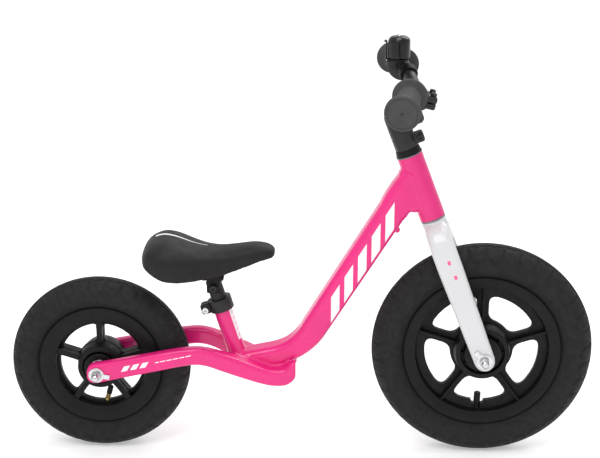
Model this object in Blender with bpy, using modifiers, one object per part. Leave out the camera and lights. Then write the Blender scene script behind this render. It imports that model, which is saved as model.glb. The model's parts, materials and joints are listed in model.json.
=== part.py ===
"""Balance bike: a welded alloy frame, threadless fork, moulded five-spoke wheels, saddle, bars and bell.

Units are metres, +Z is up, +X is forward and +Y is the rider's left. The bike stands upright with both
tyres on Z = 0 and the front wheel straight ahead.
"""

from math import atan2, cos, pi, radians, sin, sqrt, tan

import bmesh
import bpy
from mathutils import Matrix, Vector

# Driving dimensions
GAP = 0.0003                      # clearance between pieces that touch
FRONT_AXLE = Vector((0.2595, 0.0, 0.157))
REAR_AXLE = Vector((-0.2875, 0.0, 0.129))
HEAD_ANGLE = radians(69.0)        # steering axis above the ground; it passes through the front axle
SEAT_ANGLE = radians(73.0)
SEAT_TOP = Vector((-0.1154, 0.0, 0.2280))  # top of the seat tube, on its axis

STEERER_R = 0.0111
HEAD_R = 0.018
HEAD_BORE_R = 0.0153
HEAD_LOW, HEAD_HIGH = 0.2104, 0.3057       # along the steering axis from the front axle
BEARING_H = 0.007
COVER_TOP = 0.0105                 # top of the headset cover, above the head tube

DROPOUT_IN, DROPOUT_OUT = 0.033, 0.050     # inner and outer faces of fork legs and stays
AXLE_R = 0.0048
AXLE_HALF = 0.061
AXLE_HOLE_R = AXLE_R + GAP

HUB_HALF = 0.027
HUB_BORE_R = 0.009
WHEEL_BEARING_R = 0.013
WHEEL_BEARING_H = 0.008

SEAT_TUBE_R = 0.0132
SEAT_POST_R = 0.0111
COLLAR_H = 0.016
SEAT_TUBE_DROP = 0.0005             # the tube ends this far below the seat frame's origin

BAR_R = 0.0095
GRIP_START, GRIP_END = 0.102, 0.183        # grip reach in Y
GRIP_R, GRIP_FLANGE_R = 0.0155, 0.0230
STEM_R = 0.0162
BAR_FORWARD, BAR_ALONG = 0.0379, 0.3764    # bar centre, ahead of and along the steering axis

ROUND = 32                                 # steps round a large turned piece
SMALL_ROUND = 14

# Frames of reference: local Z is the axis, local X points forward, local Y is the rider's left
STEER = Matrix.Translation(FRONT_AXLE) @ Matrix.Rotation(HEAD_ANGLE - pi / 2, 4, "Y")
SEAT = Matrix.Translation(SEAT_TOP) @ Matrix.Rotation(SEAT_ANGLE - pi / 2, 4, "Y")
ACROSS = Matrix.Rotation(-pi / 2, 4, "X")  # turns local Z to +Y


# Scene set-up

def clear_scene():
    for old in list(bpy.data.objects):
        bpy.data.objects.remove(old)


def new_collection(name):
    collection = bpy.data.collections.new(name)
    bpy.context.scene.collection.children.link(collection)
    return collection


def material(name, color, roughness, metallic=0.0):
    made = bpy.data.materials.new(name)
    made.use_nodes = True
    shader = made.node_tree.nodes["Principled BSDF"]
    shader.inputs["Base Color"].default_value = (*color, 1.0)
    shader.inputs["Roughness"].default_value = roughness
    shader.inputs["Metallic"].default_value = metallic
    return made


# Makers. Each gives a mesh object, in metres

def add_object(name, mesh, matrix, finish):
    made = bpy.data.objects.new(name, mesh)
    made.matrix_world = matrix
    if finish is None:
        made.hide_render = True
        made.display_type = "WIRE"
        CUTTERS.objects.link(made)
    else:
        mesh.materials.append(finish)
        PARTS.objects.link(made)
    return made


def smooth(mesh, angle=35.0):
    mesh.shade_smooth()
    mesh.set_sharp_from_angle(angle=radians(angle))


def mesh_from(bm, name):
    bmesh.ops.recalc_face_normals(bm, faces=bm.faces)
    mesh = bpy.data.meshes.new(name)
    bm.to_mesh(mesh)
    bm.free()
    smooth(mesh)
    return mesh


def turned(name, profile, matrix, finish, steps=SMALL_ROUND, closed=True):
    """Turns (radius, height) points about local Z. They run down the outer side and up the bore."""
    mesh = bpy.data.meshes.new(name)
    count = len(profile)
    edges = [(i, (i + 1) % count) for i in range(count if closed else count - 1)]
    mesh.from_pydata([(r, 0.0, z) for r, z in profile], edges, [])
    made = add_object(name, mesh, matrix, finish)
    screw = made.modifiers.new("turn", "SCREW")
    screw.steps = screw.render_steps = steps
    screw.use_merge_vertices = True
    screw.merge_threshold = 0.00001
    return made


def ring(name, inner, outer, low, high, matrix, finish, steps=SMALL_ROUND):
    profile = [(outer, high), (outer, low), (inner, low), (inner, high)]
    return turned(name, profile, matrix, finish, steps)


def rod(name, radius, low, high, matrix, finish, steps=SMALL_ROUND):
    bm = bmesh.new()
    bmesh.ops.create_cone(bm, cap_ends=True, segments=steps, radius1=radius, radius2=radius,
                          depth=high - low, matrix=Matrix.Translation((0, 0, (low + high) / 2)))
    return add_object(name, mesh_from(bm, name), matrix, finish)


def block(name, low, high, matrix, finish, bevel=0.0, segments=1):
    size = Vector(high) - Vector(low)
    bm = bmesh.new()
    bmesh.ops.create_cube(bm, size=1.0)
    bmesh.ops.scale(bm, vec=size, verts=bm.verts)
    bmesh.ops.translate(bm, vec=Vector(low) + size / 2, verts=bm.verts)
    if bevel:
        bmesh.ops.bevel(bm, geom=bm.edges, offset=bevel, segments=segments, affect="EDGES",
                        profile=0.5)
    return add_object(name, mesh_from(bm, name), matrix, finish)


def rounded_outline(half_u, half_v, corner, arc_steps=4):
    """Points round a rectangle with rounded corners, in its own plane."""
    corner = min(corner, half_u, half_v)
    points = []
    for quarter, (side_u, side_v) in enumerate([(1, 1), (-1, 1), (-1, -1), (1, -1)]):
        for step in range(arc_steps + 1):
            angle = (quarter + step / arc_steps) * pi / 2
            points.append((side_u * (half_u - corner) + corner * cos(angle),
                           side_v * (half_v - corner) + corner * sin(angle)))
    return points


def section(centre, along_u, along_v, half_u, half_v, corner, arc_steps=4):
    outline = rounded_outline(half_u, half_v, corner, arc_steps)
    return [Vector(centre) + u * Vector(along_u) + v * Vector(along_v) for u, v in outline]


def loft(name, sections, matrix, finish):
    """Skins a row of sections that have the same number of points, and closes both ends."""
    bm = bmesh.new()
    rings = [[bm.verts.new(point) for point in points] for points in sections]
    count = len(rings[0])
    for low, high in zip(rings, rings[1:]):
        for i in range(count):
            bm.faces.new((low[i], low[(i + 1) % count], high[(i + 1) % count], high[i]))
    bm.faces.new(rings[0][::-1])
    bm.faces.new(rings[-1])
    return add_object(name, mesh_from(bm, name), matrix, finish)


def combine(target, other, operation="DIFFERENCE"):
    modifier = target.modifiers.new(other.name, "BOOLEAN")
    modifier.operation = operation
    modifier.object = other
    return target


def pivot(name, matrix, pieces):
    """An empty on a joint's axis, with the moving pieces parented to it."""
    empty = bpy.data.objects.new(name, None)
    empty.matrix_world = matrix
    empty.empty_display_size = 0.03
    PARTS.objects.link(empty)
    for piece in pieces:
        piece.parent = empty
        piece.matrix_parent_inverse = matrix.inverted()
    return empty


def filleted(points, radius, steps=5):
    """The points of a path of straight runs, with each inner corner rounded by an arc."""
    path = [points[0]]
    for before, corner, after in zip(points, points[1:], points[2:]):
        to_before = (before - corner).normalized()
        to_after = (after - corner).normalized()
        half = to_before.angle(to_after) / 2
        middle = corner + (to_before + to_after).normalized() * radius / sin(half)
        start = corner + to_before * radius / tan(half) - middle
        end = corner + to_after * radius / tan(half) - middle
        path += [middle + start.slerp(end, i / steps) * radius / start.slerp(end, i / steps).length
                 for i in range(steps + 1)]
    return path + [points[-1]]


# Frame

DOWN_TUBE_ANGLE = radians(58.5)
DOWN_TUBE_HIGH = Vector((0.1274, 0.0, 0.3618))   # on the centreline, where the head flare starts
FOOT_ANGLE = radians(12.0)
FOOT_END = Vector((-0.104, 0.0, 0.1298))         # rear end of the tube, under the seat tube
BEND_RADIUS = 0.090
DOWN_TUBE_HALF_WIDTH = 0.018
GUIDE_BOSS = Vector((0.1354, 0.0, 0.3343))       # small boss under the tube, across the bike
GUIDE_BOSS_R, GUIDE_BOSS_HALF = 0.0042, 0.0060


def down_tube_path():
    """Centreline points from the head to the foot: two straight runs joined by an arc."""
    down = Vector((cos(DOWN_TUBE_ANGLE), 0, sin(DOWN_TUBE_ANGLE)))
    foot = Vector((cos(FOOT_ANGLE), 0, sin(FOOT_ANGLE)))
    gap = FOOT_END - DOWN_TUBE_HIGH
    run = (gap.x * foot.z - gap.z * foot.x) / (down.x * foot.z - down.z * foot.x)
    corner = DOWN_TUBE_HIGH + down * run
    middle = DOWN_TUBE_HIGH.lerp(corner, 0.45)
    return filleted([DOWN_TUBE_HIGH, corner, FOOT_END], BEND_RADIUS, steps=7), middle


def down_tube():
    path, middle = down_tube_path()
    path.insert(1, middle)
    sections = [
        section(STEER @ Vector((0.0, 0, 0.2595)), STEER.col[2].xyz, (0, 1, 0), 0.0325, 0.0165, 0.010),
        section(STEER @ Vector((-0.019, 0, 0.2578)), STEER.col[2].xyz, (0, 1, 0), 0.0312, 0.0172, 0.010),
        section((0.1418, 0, 0.3850), Vector((-0.38, 0, 0.925)).normalized(), (0, 1, 0),
                0.0255, 0.0178, 0.010),
    ]
    for i, point in enumerate(path):
        ahead = path[min(i + 1, len(path) - 1)] - path[max(i - 1, 0)]
        normal = Vector((ahead.z, 0, -ahead.x)).normalized()
        share = i / (len(path) - 1)
        half_depth = 0.0195 - 0.0040 * min(1.0, 1.6 * share)
        sections.append(section(point, normal, (0, 1, 0), half_depth, DOWN_TUBE_HALF_WIDTH, 0.009))
    made = loft("down_tube", sections, Matrix(), PINK)
    boss = Matrix.Translation(GUIDE_BOSS) @ ACROSS
    combine(made, rod("join_guide_boss", GUIDE_BOSS_R, -GUIDE_BOSS_HALF, GUIDE_BOSS_HALF, boss, None),
            "UNION")
    return combine(made, rod("cut_head_tube", HEAD_R + 2 * GAP, 0.18, 0.34, STEER, None, ROUND))


def head_tube():
    profile = [(HEAD_R, HEAD_HIGH), (HEAD_R, HEAD_LOW), (HEAD_BORE_R, HEAD_LOW),
               (HEAD_BORE_R, HEAD_LOW + BEARING_H), (0.0140, HEAD_LOW + BEARING_H),
               (0.0140, HEAD_HIGH - BEARING_H), (HEAD_BORE_R, HEAD_HIGH - BEARING_H),
               (HEAD_BORE_R, HEAD_HIGH)]
    return turned("head_tube", profile, STEER, PINK, ROUND)


def seat_tube():
    made = ring("seat_tube", SEAT_POST_R + GAP, SEAT_TUBE_R, -0.110, -SEAT_TUBE_DROP, SEAT, PINK, 24)
    foot = Matrix.Translation(FOOT_END) @ Matrix.Rotation(-FOOT_ANGLE, 4, "Y")
    combine(made, block("cut_seat_tube_foot", (-0.06, -0.06, -0.10), (0.12, 0.06, 0.0155 + GAP),
                        foot, None))
    return made


# Stations of the right-hand stay: place in X, height of its middle, half height, inner and outer Y
STAY_STATIONS = [
    (-0.3015, 0.1285, 0.0060, 0.0335, 0.0495),
    (-0.2990, 0.1286, 0.0110, 0.0330, 0.0500),
    (-0.2925, 0.1290, 0.0145, 0.0330, 0.0500),
    (-0.2800, 0.1310, 0.0148, 0.0330, 0.0500),
    (-0.2500, 0.1375, 0.0142, 0.0330, 0.0500),
    (-0.2050, 0.1470, 0.0138, 0.0328, 0.0500),
    (-0.1700, 0.1540, 0.0132, 0.0318, 0.0492),
    (-0.1480, 0.1563, 0.0128, 0.0300, 0.0480),
    (-0.1300, 0.1535, 0.0130, 0.0275, 0.0462),
    (-0.1100, 0.1460, 0.0135, 0.0235, 0.0445),
    (-0.0850, 0.1362, 0.0133, 0.0190, 0.0425),
    (-0.0600, 0.1265, 0.0125, 0.0187, 0.0408),
    (-0.0400, 0.1208, 0.0120, 0.0187, 0.0392),
    (-0.0220, 0.1215, 0.0132, 0.0187, 0.0378),
    (-0.0110, 0.1285, 0.0150, 0.0190, 0.0365),
    (-0.0055, 0.1325, 0.0120, 0.0205, 0.0345),
]


def chainstay(name, side):
    sections = []
    for x, z, half_height, inner, outer in STAY_STATIONS:
        middle = (x, side * (inner + outer) / 2, z)
        half_width = (outer - inner) / 2
        sections.append(section(middle, (0, 0, 1), (0, side, 0), half_height, half_width, 0.0055, 3))
    made = loft(name, sections, Matrix(), PINK)
    hole = Matrix.Translation(REAR_AXLE) @ ACROSS
    return combine(made, rod("cut_" + name, AXLE_HOLE_R, -0.09, 0.09, hole, None))


COLLAR_R, COLLAR_LIP = 0.0172, 0.0016      # outer radius, and the height of the lip over the tube's end
COLLAR_EARS_LOW, COLLAR_EARS_HIGH = (-0.0290, -0.0085, -0.0155), (-0.0145, 0.0085, -0.0005)
COLLAR_SLIT_HALF = 0.0012
COLLAR_BOLT = (-0.0222, 0.0, -0.0080)
CLAMP_BOLT_HOLE_R = 0.0028


def seat_collar():
    bore, post_bore = SEAT_TUBE_R + GAP, SEAT_POST_R + GAP
    made = turned("seat_collar", [(COLLAR_R, COLLAR_LIP), (COLLAR_R, -COLLAR_H), (bore, -COLLAR_H),
                                  (bore, -SEAT_TUBE_DROP + GAP), (post_bore, -SEAT_TUBE_DROP + GAP),
                                  (post_bore, COLLAR_LIP)], SEAT, BLACK_ALLOY, 22)
    combine(made, block("join_collar_ears", COLLAR_EARS_LOW, COLLAR_EARS_HIGH, SEAT, None, 0.002), "UNION")
    combine(made, block("cut_collar_slit", (-0.04, -COLLAR_SLIT_HALF, -0.03),
                        (-0.0100, COLLAR_SLIT_HALF, 0.01), SEAT, None))
    across = SEAT @ Matrix.Translation(COLLAR_BOLT) @ ACROSS
    combine(made, rod("cut_collar_bolt", CLAMP_BOLT_HOLE_R, -0.03, 0.03, across, None))
    bolt = socket_bolt("seat_collar_bolt", 0.0025, 0.0045, 0.0088, -0.0080, 0.0050,
                       across @ Matrix.Rotation(pi, 4, "X"), STEEL)
    return [made, bolt]


def socket_bolt(name, shank_r, head_r, head_low, tip, head_h, matrix, finish):
    """A hex-socket bolt along local Z: the head stands on head_low and the shank runs down to tip."""
    head_high = head_low + head_h
    profile = [(0.0, head_high), (head_r, head_high), (head_r, head_low), (shank_r, head_low),
               (shank_r, tip), (0.0, tip)]
    made = turned(name, profile, matrix, finish, 10, closed=False)
    socket = rod("cut_" + name, head_r * 0.52, head_low + head_h * 0.45, head_low + head_h + 0.002,
                 matrix, None, 6)
    return combine(made, socket)


# Headset, fork and front axle

def headset():
    top = HEAD_HIGH
    return [
        ring("headset_bearing_lower", STEERER_R + GAP, HEAD_BORE_R - GAP, HEAD_LOW + GAP,
             HEAD_LOW + BEARING_H - GAP, STEER, STEEL, 20),
        ring("headset_bearing_upper", STEERER_R + GAP, HEAD_BORE_R - GAP, top - BEARING_H + GAP,
             top - GAP, STEER, STEEL, 20),
        ring("headset_crown_race", STEERER_R + GAP, 0.0176, HEAD_LOW - 0.0028, HEAD_LOW - 0.0004,
             STEER, GREY_ALLOY, 28),
        turned("headset_top_cover", [(0.0166, top + COVER_TOP), (0.0178, top + 0.0040),
                                     (0.0184, top + 0.0005), (STEERER_R + GAP, top + 0.0005),
                                     (STEERER_R + GAP, top + COVER_TOP)], STEER, BLACK_PLASTIC, 24),
    ]


FORK_CROWN_LOW, FORK_CROWN_HIGH = 0.1720, HEAD_LOW - 0.0031
LEG_MIDDLE_Y = (DROPOUT_IN + DROPOUT_OUT) / 2
LEG_HALF_T = (DROPOUT_OUT - DROPOUT_IN) / 2
# Height along the leg from the axle, and half the leg's width seen from the side
LEG_STATIONS = [(-0.0160, 0.0045), (-0.0145, 0.0090), (-0.0105, 0.0125), (-0.0040, 0.0147),
                (0.0040, 0.0150), (0.0700, 0.0160), (0.1300, 0.0172)]
SHOULDER_LOW = 0.150


def fork_leg(name, side):
    sections = []
    for along, half_width in LEG_STATIONS:
        sections.append(section((0, side * LEG_MIDDLE_Y, along), (1, 0, 0), (0, side, 0),
                                half_width, LEG_HALF_T, 0.0068))
    shoulder_rise = (FORK_CROWN_LOW + FORK_CROWN_HIGH) / 2 - SHOULDER_LOW
    shoulder_reach = LEG_MIDDLE_Y - 0.014
    steps = 4
    for step in range(steps + 1):
        angle = step / steps * pi / 2
        share = step / steps
        middle = (0, side * (0.014 + shoulder_reach * cos(angle)), SHOULDER_LOW + shoulder_rise * sin(angle))
        outward = Vector((0, side * cos(angle), sin(angle)))
        half_t = LEG_HALF_T + (0.0160 - LEG_HALF_T) * share ** 2
        sections.append(section(middle, (1, 0, 0), outward, 0.0176, half_t, 0.0068 + 0.006 * share))
    made = loft(name, sections, STEER, WHITE)
    combine(made, rod("cut_crown_" + name, 0.0176 + GAP, FORK_CROWN_LOW - 0.02, FORK_CROWN_HIGH + 0.02,
                      STEER, None, 28))
    return combine(made, rod("cut_axle_" + name, AXLE_HOLE_R, -0.09, 0.09, STEER @ ACROSS, None))


def fork():
    crown = ring("fork_crown", STEERER_R + GAP, 0.0176, FORK_CROWN_LOW, FORK_CROWN_HIGH, STEER, WHITE, 28)
    steerer = ring("fork_steerer", 0.0087, STEERER_R, FORK_CROWN_LOW + 0.002, 0.3640, STEER, STEEL, 20)
    return [crown, steerer, fork_leg("fork_leg_right", -1), fork_leg("fork_leg_left", 1)]


NUT_R, NUT_HEX_H = 0.0070, 0.0075
NUT_DOME_R, NUT_DOME_MIDDLE = 0.0058, 0.0090
WASHER_R, WASHER_T, SPACER_R = 0.0112, 0.0016, 0.0085
TAB_HALF_W, TAB_START, TAB_END = 0.0035, 0.009, 0.0190


def acorn_nut(name, matrix, finish):
    """A closed hex nut along local Z, standing on Z = 0, with a blind bore for the axle end."""
    base = rod(name, NUT_R, 0.0, NUT_HEX_H, matrix, finish, 6)
    dome = [(0.0, NUT_DOME_MIDDLE + NUT_DOME_R)]
    dome += [(NUT_DOME_R * sin(a * pi / 6), NUT_DOME_MIDDLE + NUT_DOME_R * cos(a * pi / 6))
             for a in (1, 2, 3)]
    dome += [(NUT_DOME_R, NUT_HEX_H - 0.0025), (0.0, NUT_HEX_H - 0.0025)]
    combine(base, turned("join_" + name, dome, matrix, None, 10, closed=False), "UNION")
    bore_end = AXLE_HALF - DROPOUT_OUT - WASHER_T - GAP
    return combine(base, rod("cut_" + name, AXLE_HOLE_R, -0.002, bore_end, matrix, None, 12))


def axle_set(which, axle, tilt):
    """Axle, spacers, washers and nuts of one wheel. They stay with the frame or the fork."""
    at = Matrix.Translation(axle)
    pieces = [rod(which + "_axle", AXLE_R, -AXLE_HALF, AXLE_HALF, at @ ACROSS, STEEL)]
    low = DROPOUT_OUT + GAP
    high = low + WASHER_T
    for word, side in (("right", -1), ("left", 1)):
        out = at @ (ACROSS if side > 0 else ACROSS @ Matrix.Rotation(pi, 4, "X"))
        pieces.append(ring(f"{which}_spacer_{word}", AXLE_HOLE_R, SPACER_R, HUB_HALF + 2 * GAP,
                           DROPOUT_IN - GAP, out, STEEL))
        washer = ring(f"{which}_washer_{word}", AXLE_HOLE_R, WASHER_R, low, high, out, STEEL)
        low_y, high_y = sorted((side * low, side * high))
        tab = block(f"join_{which}_tab_{word}", (-TAB_HALF_W, low_y, TAB_START),
                    (TAB_HALF_W, high_y, TAB_END), at @ Matrix.Rotation(tilt, 4, "Y"), None)
        pieces.append(combine(washer, tab, "UNION"))
        pieces.append(acorn_nut(f"{which}_nut_{word}", out @ Matrix.Translation((0, 0, high + GAP)), STEEL))
    return pieces


# Wheels

def tyre_profile(radius, bead_line, half_width, wall=0.0042, flange=0.0174):
    """(radius, side) points of an open-bottomed tyre: an oval casing whose beads sit inside the rim."""
    end = pi - atan2(flange / half_width, sqrt(1 - (flange / half_width) ** 2))
    half_height = (radius - bead_line) / (1 - cos(end))
    centre = radius - half_height
    outer = [(centre + half_height * cos(a), half_width * sin(a))
             for a in (end * (1 - step / 5) for step in range(11))]
    inner_end = pi - 0.60
    inner = [(centre + (half_height - wall) * cos(a), (half_width - wall) * sin(a))
             for a in (-inner_end * (1 - step / 3) for step in range(7))]
    bead_low = bead_line - 0.0125
    right = [(bead_line, -0.0142), (bead_line - 0.003, -0.0136), (bead_low, -0.0116), (bead_low, -0.0085)]
    left = [(r, -side) for r, side in reversed(right)]
    return outer + right + inner + left


def rim_profile(bead_line, barrel, ring_r, core_r):
    """Half of the wheel's section: hub, web, barrel wall and rim flange, then its mirror image."""
    half = [(bead_line, 0.0155), (bead_line - 0.008, 0.0175), (barrel - 0.001, 0.0140),
            (barrel - 0.003, 0.0040), (ring_r + 0.004, 0.0045), (ring_r + 0.001, 0.0240),
            (ring_r - 0.006, 0.0240), (ring_r - 0.006, 0.0150), (core_r, 0.0150), (core_r, HUB_HALF),
            (WHEEL_BEARING_R + GAP, HUB_HALF), (WHEEL_BEARING_R + GAP, HUB_HALF - WHEEL_BEARING_H - 2 * GAP),
            (HUB_BORE_R, HUB_HALF - WHEEL_BEARING_H - 2 * GAP)]
    well = [(barrel + 0.0035, 0.0120), (bead_line - 0.002, 0.0146)]
    mirrored = [(r, -side) for r, side in half]
    return [(barrel + 0.0030, 0.0)] + [(r, -side) for r, side in well] + mirrored + half[::-1] + well[::-1]


def window_cutter(name, count, inner, outer, spoke_half, corner, matrix):
    """Openings between the spokes: straight sides along each spoke, arcs at the hub and at the rim."""
    bm = bmesh.new()
    for index in range(count):
        middle = 2 * pi * (index + 0.5) / count - pi / 2
        outline = []
        for radius, order in ((inner, 1), (outer, -1)):
            reach = pi / count - (spoke_half / radius)
            steps = 2 if radius == inner else 4
            for step in range(steps + 1):
                angle = middle + order * reach * (2 * step / steps - 1)
                outline.append((radius * cos(angle), radius * sin(angle)))
        low = [bm.verts.new((x, y, -0.05)) for x, y in outline]
        high = [bm.verts.new((x, y, 0.05)) for x, y in outline]
        bm.faces.new(low[::-1])
        bm.faces.new(high)
        total = len(outline)
        corners = []
        for i in range(total):
            face = bm.faces.new((low[i], low[(i + 1) % total], high[(i + 1) % total], high[i]))
            if i in (0, 2, 3, 7):
                corners.append(next(edge for edge in face.edges if set(edge.verts) == {low[i], high[i]}))
        bmesh.ops.bevel(bm, geom=corners, offset=corner, segments=2, affect="EDGES", profile=0.5)
    return add_object(name, mesh_from(bm, name), matrix, None)


def spoke_ribs(name, count, inner, outer, half_t, half_y, matrix):
    """Stiffening ribs that run out along the spokes, on both faces of the web."""
    bm = bmesh.new()
    for index in range(count):
        turn = Matrix.Rotation(2 * pi * index / count - pi / 2, 4, "Z")
        place = turn @ Matrix.Translation(((inner + outer) / 2, 0, 0))
        scale = Matrix.Diagonal((outer - inner, 2 * half_t, 2 * half_y, 1))
        bmesh.ops.create_cube(bm, size=1.0, matrix=place @ scale)
    return add_object(name, mesh_from(bm, name), matrix, None)


def wheel(which, axle, tyre_r, bead_line, tyre_half, spec, valve):
    """Moulded wheel, tyre, inner tube with valve, valve cap and two bearings, turned about the axle."""
    at = Matrix.Translation(axle) @ ACROSS
    barrel = spec["barrel"]
    rim = turned(which + "_rim", rim_profile(bead_line, barrel, spec["ring"], spec["core"]), at,
                 BLACK_PLASTIC, ROUND)
    # The valve's own frame: local Z points from the rim towards the axle, then along the bent end
    toward_hub = Matrix.Translation(axle) @ Matrix.Rotation(valve["angle"], 4, "Y")
    bend = Matrix.Rotation(valve["bend"], 4, "Y")
    bent = toward_hub @ Matrix.Translation((0, 0, -valve["bend_at"])) @ bend
    combine(rim, rod(f"cut_{which}_valve", valve["hole_r"], -bead_line, -valve["notch"], toward_hub, None))
    combine(rim, spoke_ribs(f"join_{which}_ribs", 5, spec["ring"] - 0.001, barrel + 0.001,
                            spec["rib_half"], 0.0125, at), "UNION")
    combine(rim, window_cutter(f"cut_{which}_windows", 5, spec["window_in"], spec["window_out"],
                               spec["spoke_half"], spec["corner"], at))
    if valve["notch_half_w"]:
        combine(rim, block(f"cut_{which}_notch", (-valve["notch_half_w"], -0.010, -NOTCH_OUT),
                           (valve["notch_half_w"], 0.010, -NOTCH_IN), toward_hub, None))
    tyre = turned(which + "_tyre", tyre_profile(tyre_r, bead_line + 0.0004, tyre_half), at, RUBBER, ROUND)
    tube_middle = (tyre_r + bead_line) / 2 - 0.004
    tube_r = (tyre_r - bead_line) / 2 - 0.005
    tube = turned(which + "_inner_tube",
                  [(tube_middle + tube_r * cos(a), tube_r * sin(a))
                   for a in (pi / 2 - 2 * pi * step / 8 for step in range(8))], at, RUBBER, ROUND // 2)
    combine(tube, rod(f"join_{which}_stem", valve["stem_r"], -tube_middle, -valve["bend_at"], toward_hub,
                      None, 12), "UNION")
    combine(tube, rod(f"join_{which}_stem_end", valve["stem_r"] - 0.0004, -0.003, valve["stem"], bent,
                      None, 12), "UNION")
    low, high, cap_r = valve["stem"] + GAP, valve["stem"] + valve["cap"], valve["cap_r"]
    cap = turned(which + "_valve_cap", [(0.0, high), (cap_r * 0.8, high), (cap_r, high - 0.0012),
                                        (cap_r, low), (0.0, low)], bent, BLACK_PLASTIC, 14, closed=False)
    pieces = [rim, tyre, tube, cap]
    for word, low in (("right", -HUB_HALF + GAP), ("left", HUB_HALF - WHEEL_BEARING_H - GAP)):
        pieces.append(ring(f"{which}_bearing_{word}", AXLE_HOLE_R, WHEEL_BEARING_R, low,
                           low + WHEEL_BEARING_H, at, STEEL, 14))
    pivot(which + "_wheel_pivot", Matrix.Translation(axle), pieces)
    return pieces


FRONT_SPEC = {"barrel": 0.0960, "ring": 0.0370, "core": 0.0260, "window_in": 0.0450, "window_out": 0.0812,
              "spoke_half": 0.0085, "corner": 0.0080, "rib_half": 0.0014}
REAR_SPEC = {"barrel": 0.0665, "ring": 0.0300, "core": 0.0220, "window_in": 0.0345, "window_out": 0.0600,
             "spoke_half": 0.0050, "corner": 0.0040, "rib_half": 0.0044}
NOTCH_IN, NOTCH_OUT = 0.0740, 0.0860      # the recess in the web round the front valve, from the axle
FRONT_VALVE = {"angle": radians(2), "bend_at": 0.0930, "bend": 0.0, "stem": 0.0040, "stem_r": 0.0039,
               "cap": 0.0195, "cap_r": 0.0048, "hole_r": 0.0060, "notch": 0.0770, "notch_half_w": 0.0090}
REAR_VALVE = {"angle": radians(-6), "bend_at": 0.0580, "bend": radians(22), "stem": 0.0065,
              "stem_r": 0.0033, "cap": 0.0130, "cap_r": 0.0040, "hole_r": 0.0045, "notch": 0.0555,
              "notch_half_w": 0.0}


# Seat

SEAT_BOLT_UP = 0.0225                      # tilt pivot, above the top of the seat tube
TILT = Matrix.Translation(SEAT @ Vector((0, 0, SEAT_BOLT_UP)))
BRACKET_TOP = 0.0182                       # above the tilt pivot
BASE_HALF_T = 0.0018
BASE_WIDTH_SHARE = 0.72
# Place in X, height of the crown, height of the underside, half width
PAD_STATIONS = [(-0.2212, 0.2980, 0.2905, 0.0200), (-0.2190, 0.3060, 0.2860, 0.0340),
                (-0.2135, 0.3130, 0.2825, 0.0450), (-0.2040, 0.3188, 0.2780, 0.0525),
                (-0.1900, 0.3220, 0.2740, 0.0575), (-0.1720, 0.3180, 0.2722, 0.0580),
                (-0.1520, 0.3105, 0.2722, 0.0520), (-0.1330, 0.3060, 0.2726, 0.0425),
                (-0.1120, 0.3052, 0.2745, 0.0330), (-0.0880, 0.3085, 0.2815, 0.0265),
                (-0.0640, 0.3120, 0.2905, 0.0235), (-0.0480, 0.3098, 0.2960, 0.0185),
                (-0.0390, 0.3045, 0.2970, 0.0120), (-0.0352, 0.3015, 0.2980, 0.0060)]


def oval(x, middle_z, half_width, half_height, count=16, power=0.75):
    points = []
    for step in range(count):
        angle = 2 * pi * step / count
        c, s = cos(angle), sin(angle)
        points.append(Vector((x, half_width * abs(c) ** power * (1 if c >= 0 else -1),
                              middle_z + half_height * abs(s) ** power * (1 if s >= 0 else -1))))
    return points


def seat_post():
    post = ring("seat_post", 0.0089, SEAT_POST_R, -0.0660, SEAT_BOLT_UP + 0.0065, SEAT, BLACK_ALLOY, 22)
    across = TILT @ ACROSS
    combine(post, rod("cut_post_bolt", 0.0033, -0.03, 0.03, across, None))
    pivot("seat_slide", SEAT, [post])
    return [post]


def saddle():
    x_half = 0.0095
    bracket = block("saddle_bracket", (-0.0170, -0.0158, 0.0105), (0.0145, 0.0158, BRACKET_TOP), TILT,
                    BLACK_PLASTIC, 0.0015)
    for side in (-1, 1):
        inner, outer = SEAT_POST_R + GAP, 0.0156
        low_y, high_y = sorted((side * inner, side * outer))
        ear = block(f"join_saddle_ear_{side}", (-x_half, low_y, -0.0080), (x_half, high_y, 0.0130), TILT,
                    None, 0.0012)
        combine(bracket, ear, "UNION")
    across = TILT @ ACROSS
    combine(bracket, rod("cut_bracket_bolt", 0.0033, -0.03, 0.03, across, None))
    bolt = socket_bolt("saddle_bolt", 0.0030, 0.0052, 0.0160, -0.0190, 0.0042,
                       across @ Matrix.Rotation(pi, 4, "X"), STEEL)
    pan = [oval(x, low - GAP - BASE_HALF_T, half * BASE_WIDTH_SHARE, BASE_HALF_T, 12, 0.5)
           for x, top, low, half in PAD_STATIONS[4:12]]
    base = loft("saddle_base", pan, Matrix(), BLACK_PLASTIC)
    pad = loft("saddle_pad", [oval(x, (top + low) / 2, half, (top - low) / 2)
                              for x, top, low, half in PAD_STATIONS], Matrix(), VINYL)
    pieces = [bracket, bolt, base, pad]
    pivot("saddle_tilt", TILT, pieces)
    return pieces


# Stem, bars, grips and bell

BAR_CENTRE = STEER @ Vector((BAR_FORWARD, 0, BAR_ALONG))
GRIP_ROOT = Vector((0.1450, 0.0925, 0.5475))      # where the grip's straight run starts
GRIP_WAY = Vector((-0.0148, 0.0890, -0.0055)).normalized()
BEND_START_Y = 0.027
EAR_DROP = radians(35)                            # the bar clamp opens forward and down
BAR_TIP = (0.1790 - GRIP_ROOT.y) / GRIP_WAY.y


def mirrored_y(point):
    return Vector((point.x, -point.y, point.z))


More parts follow.
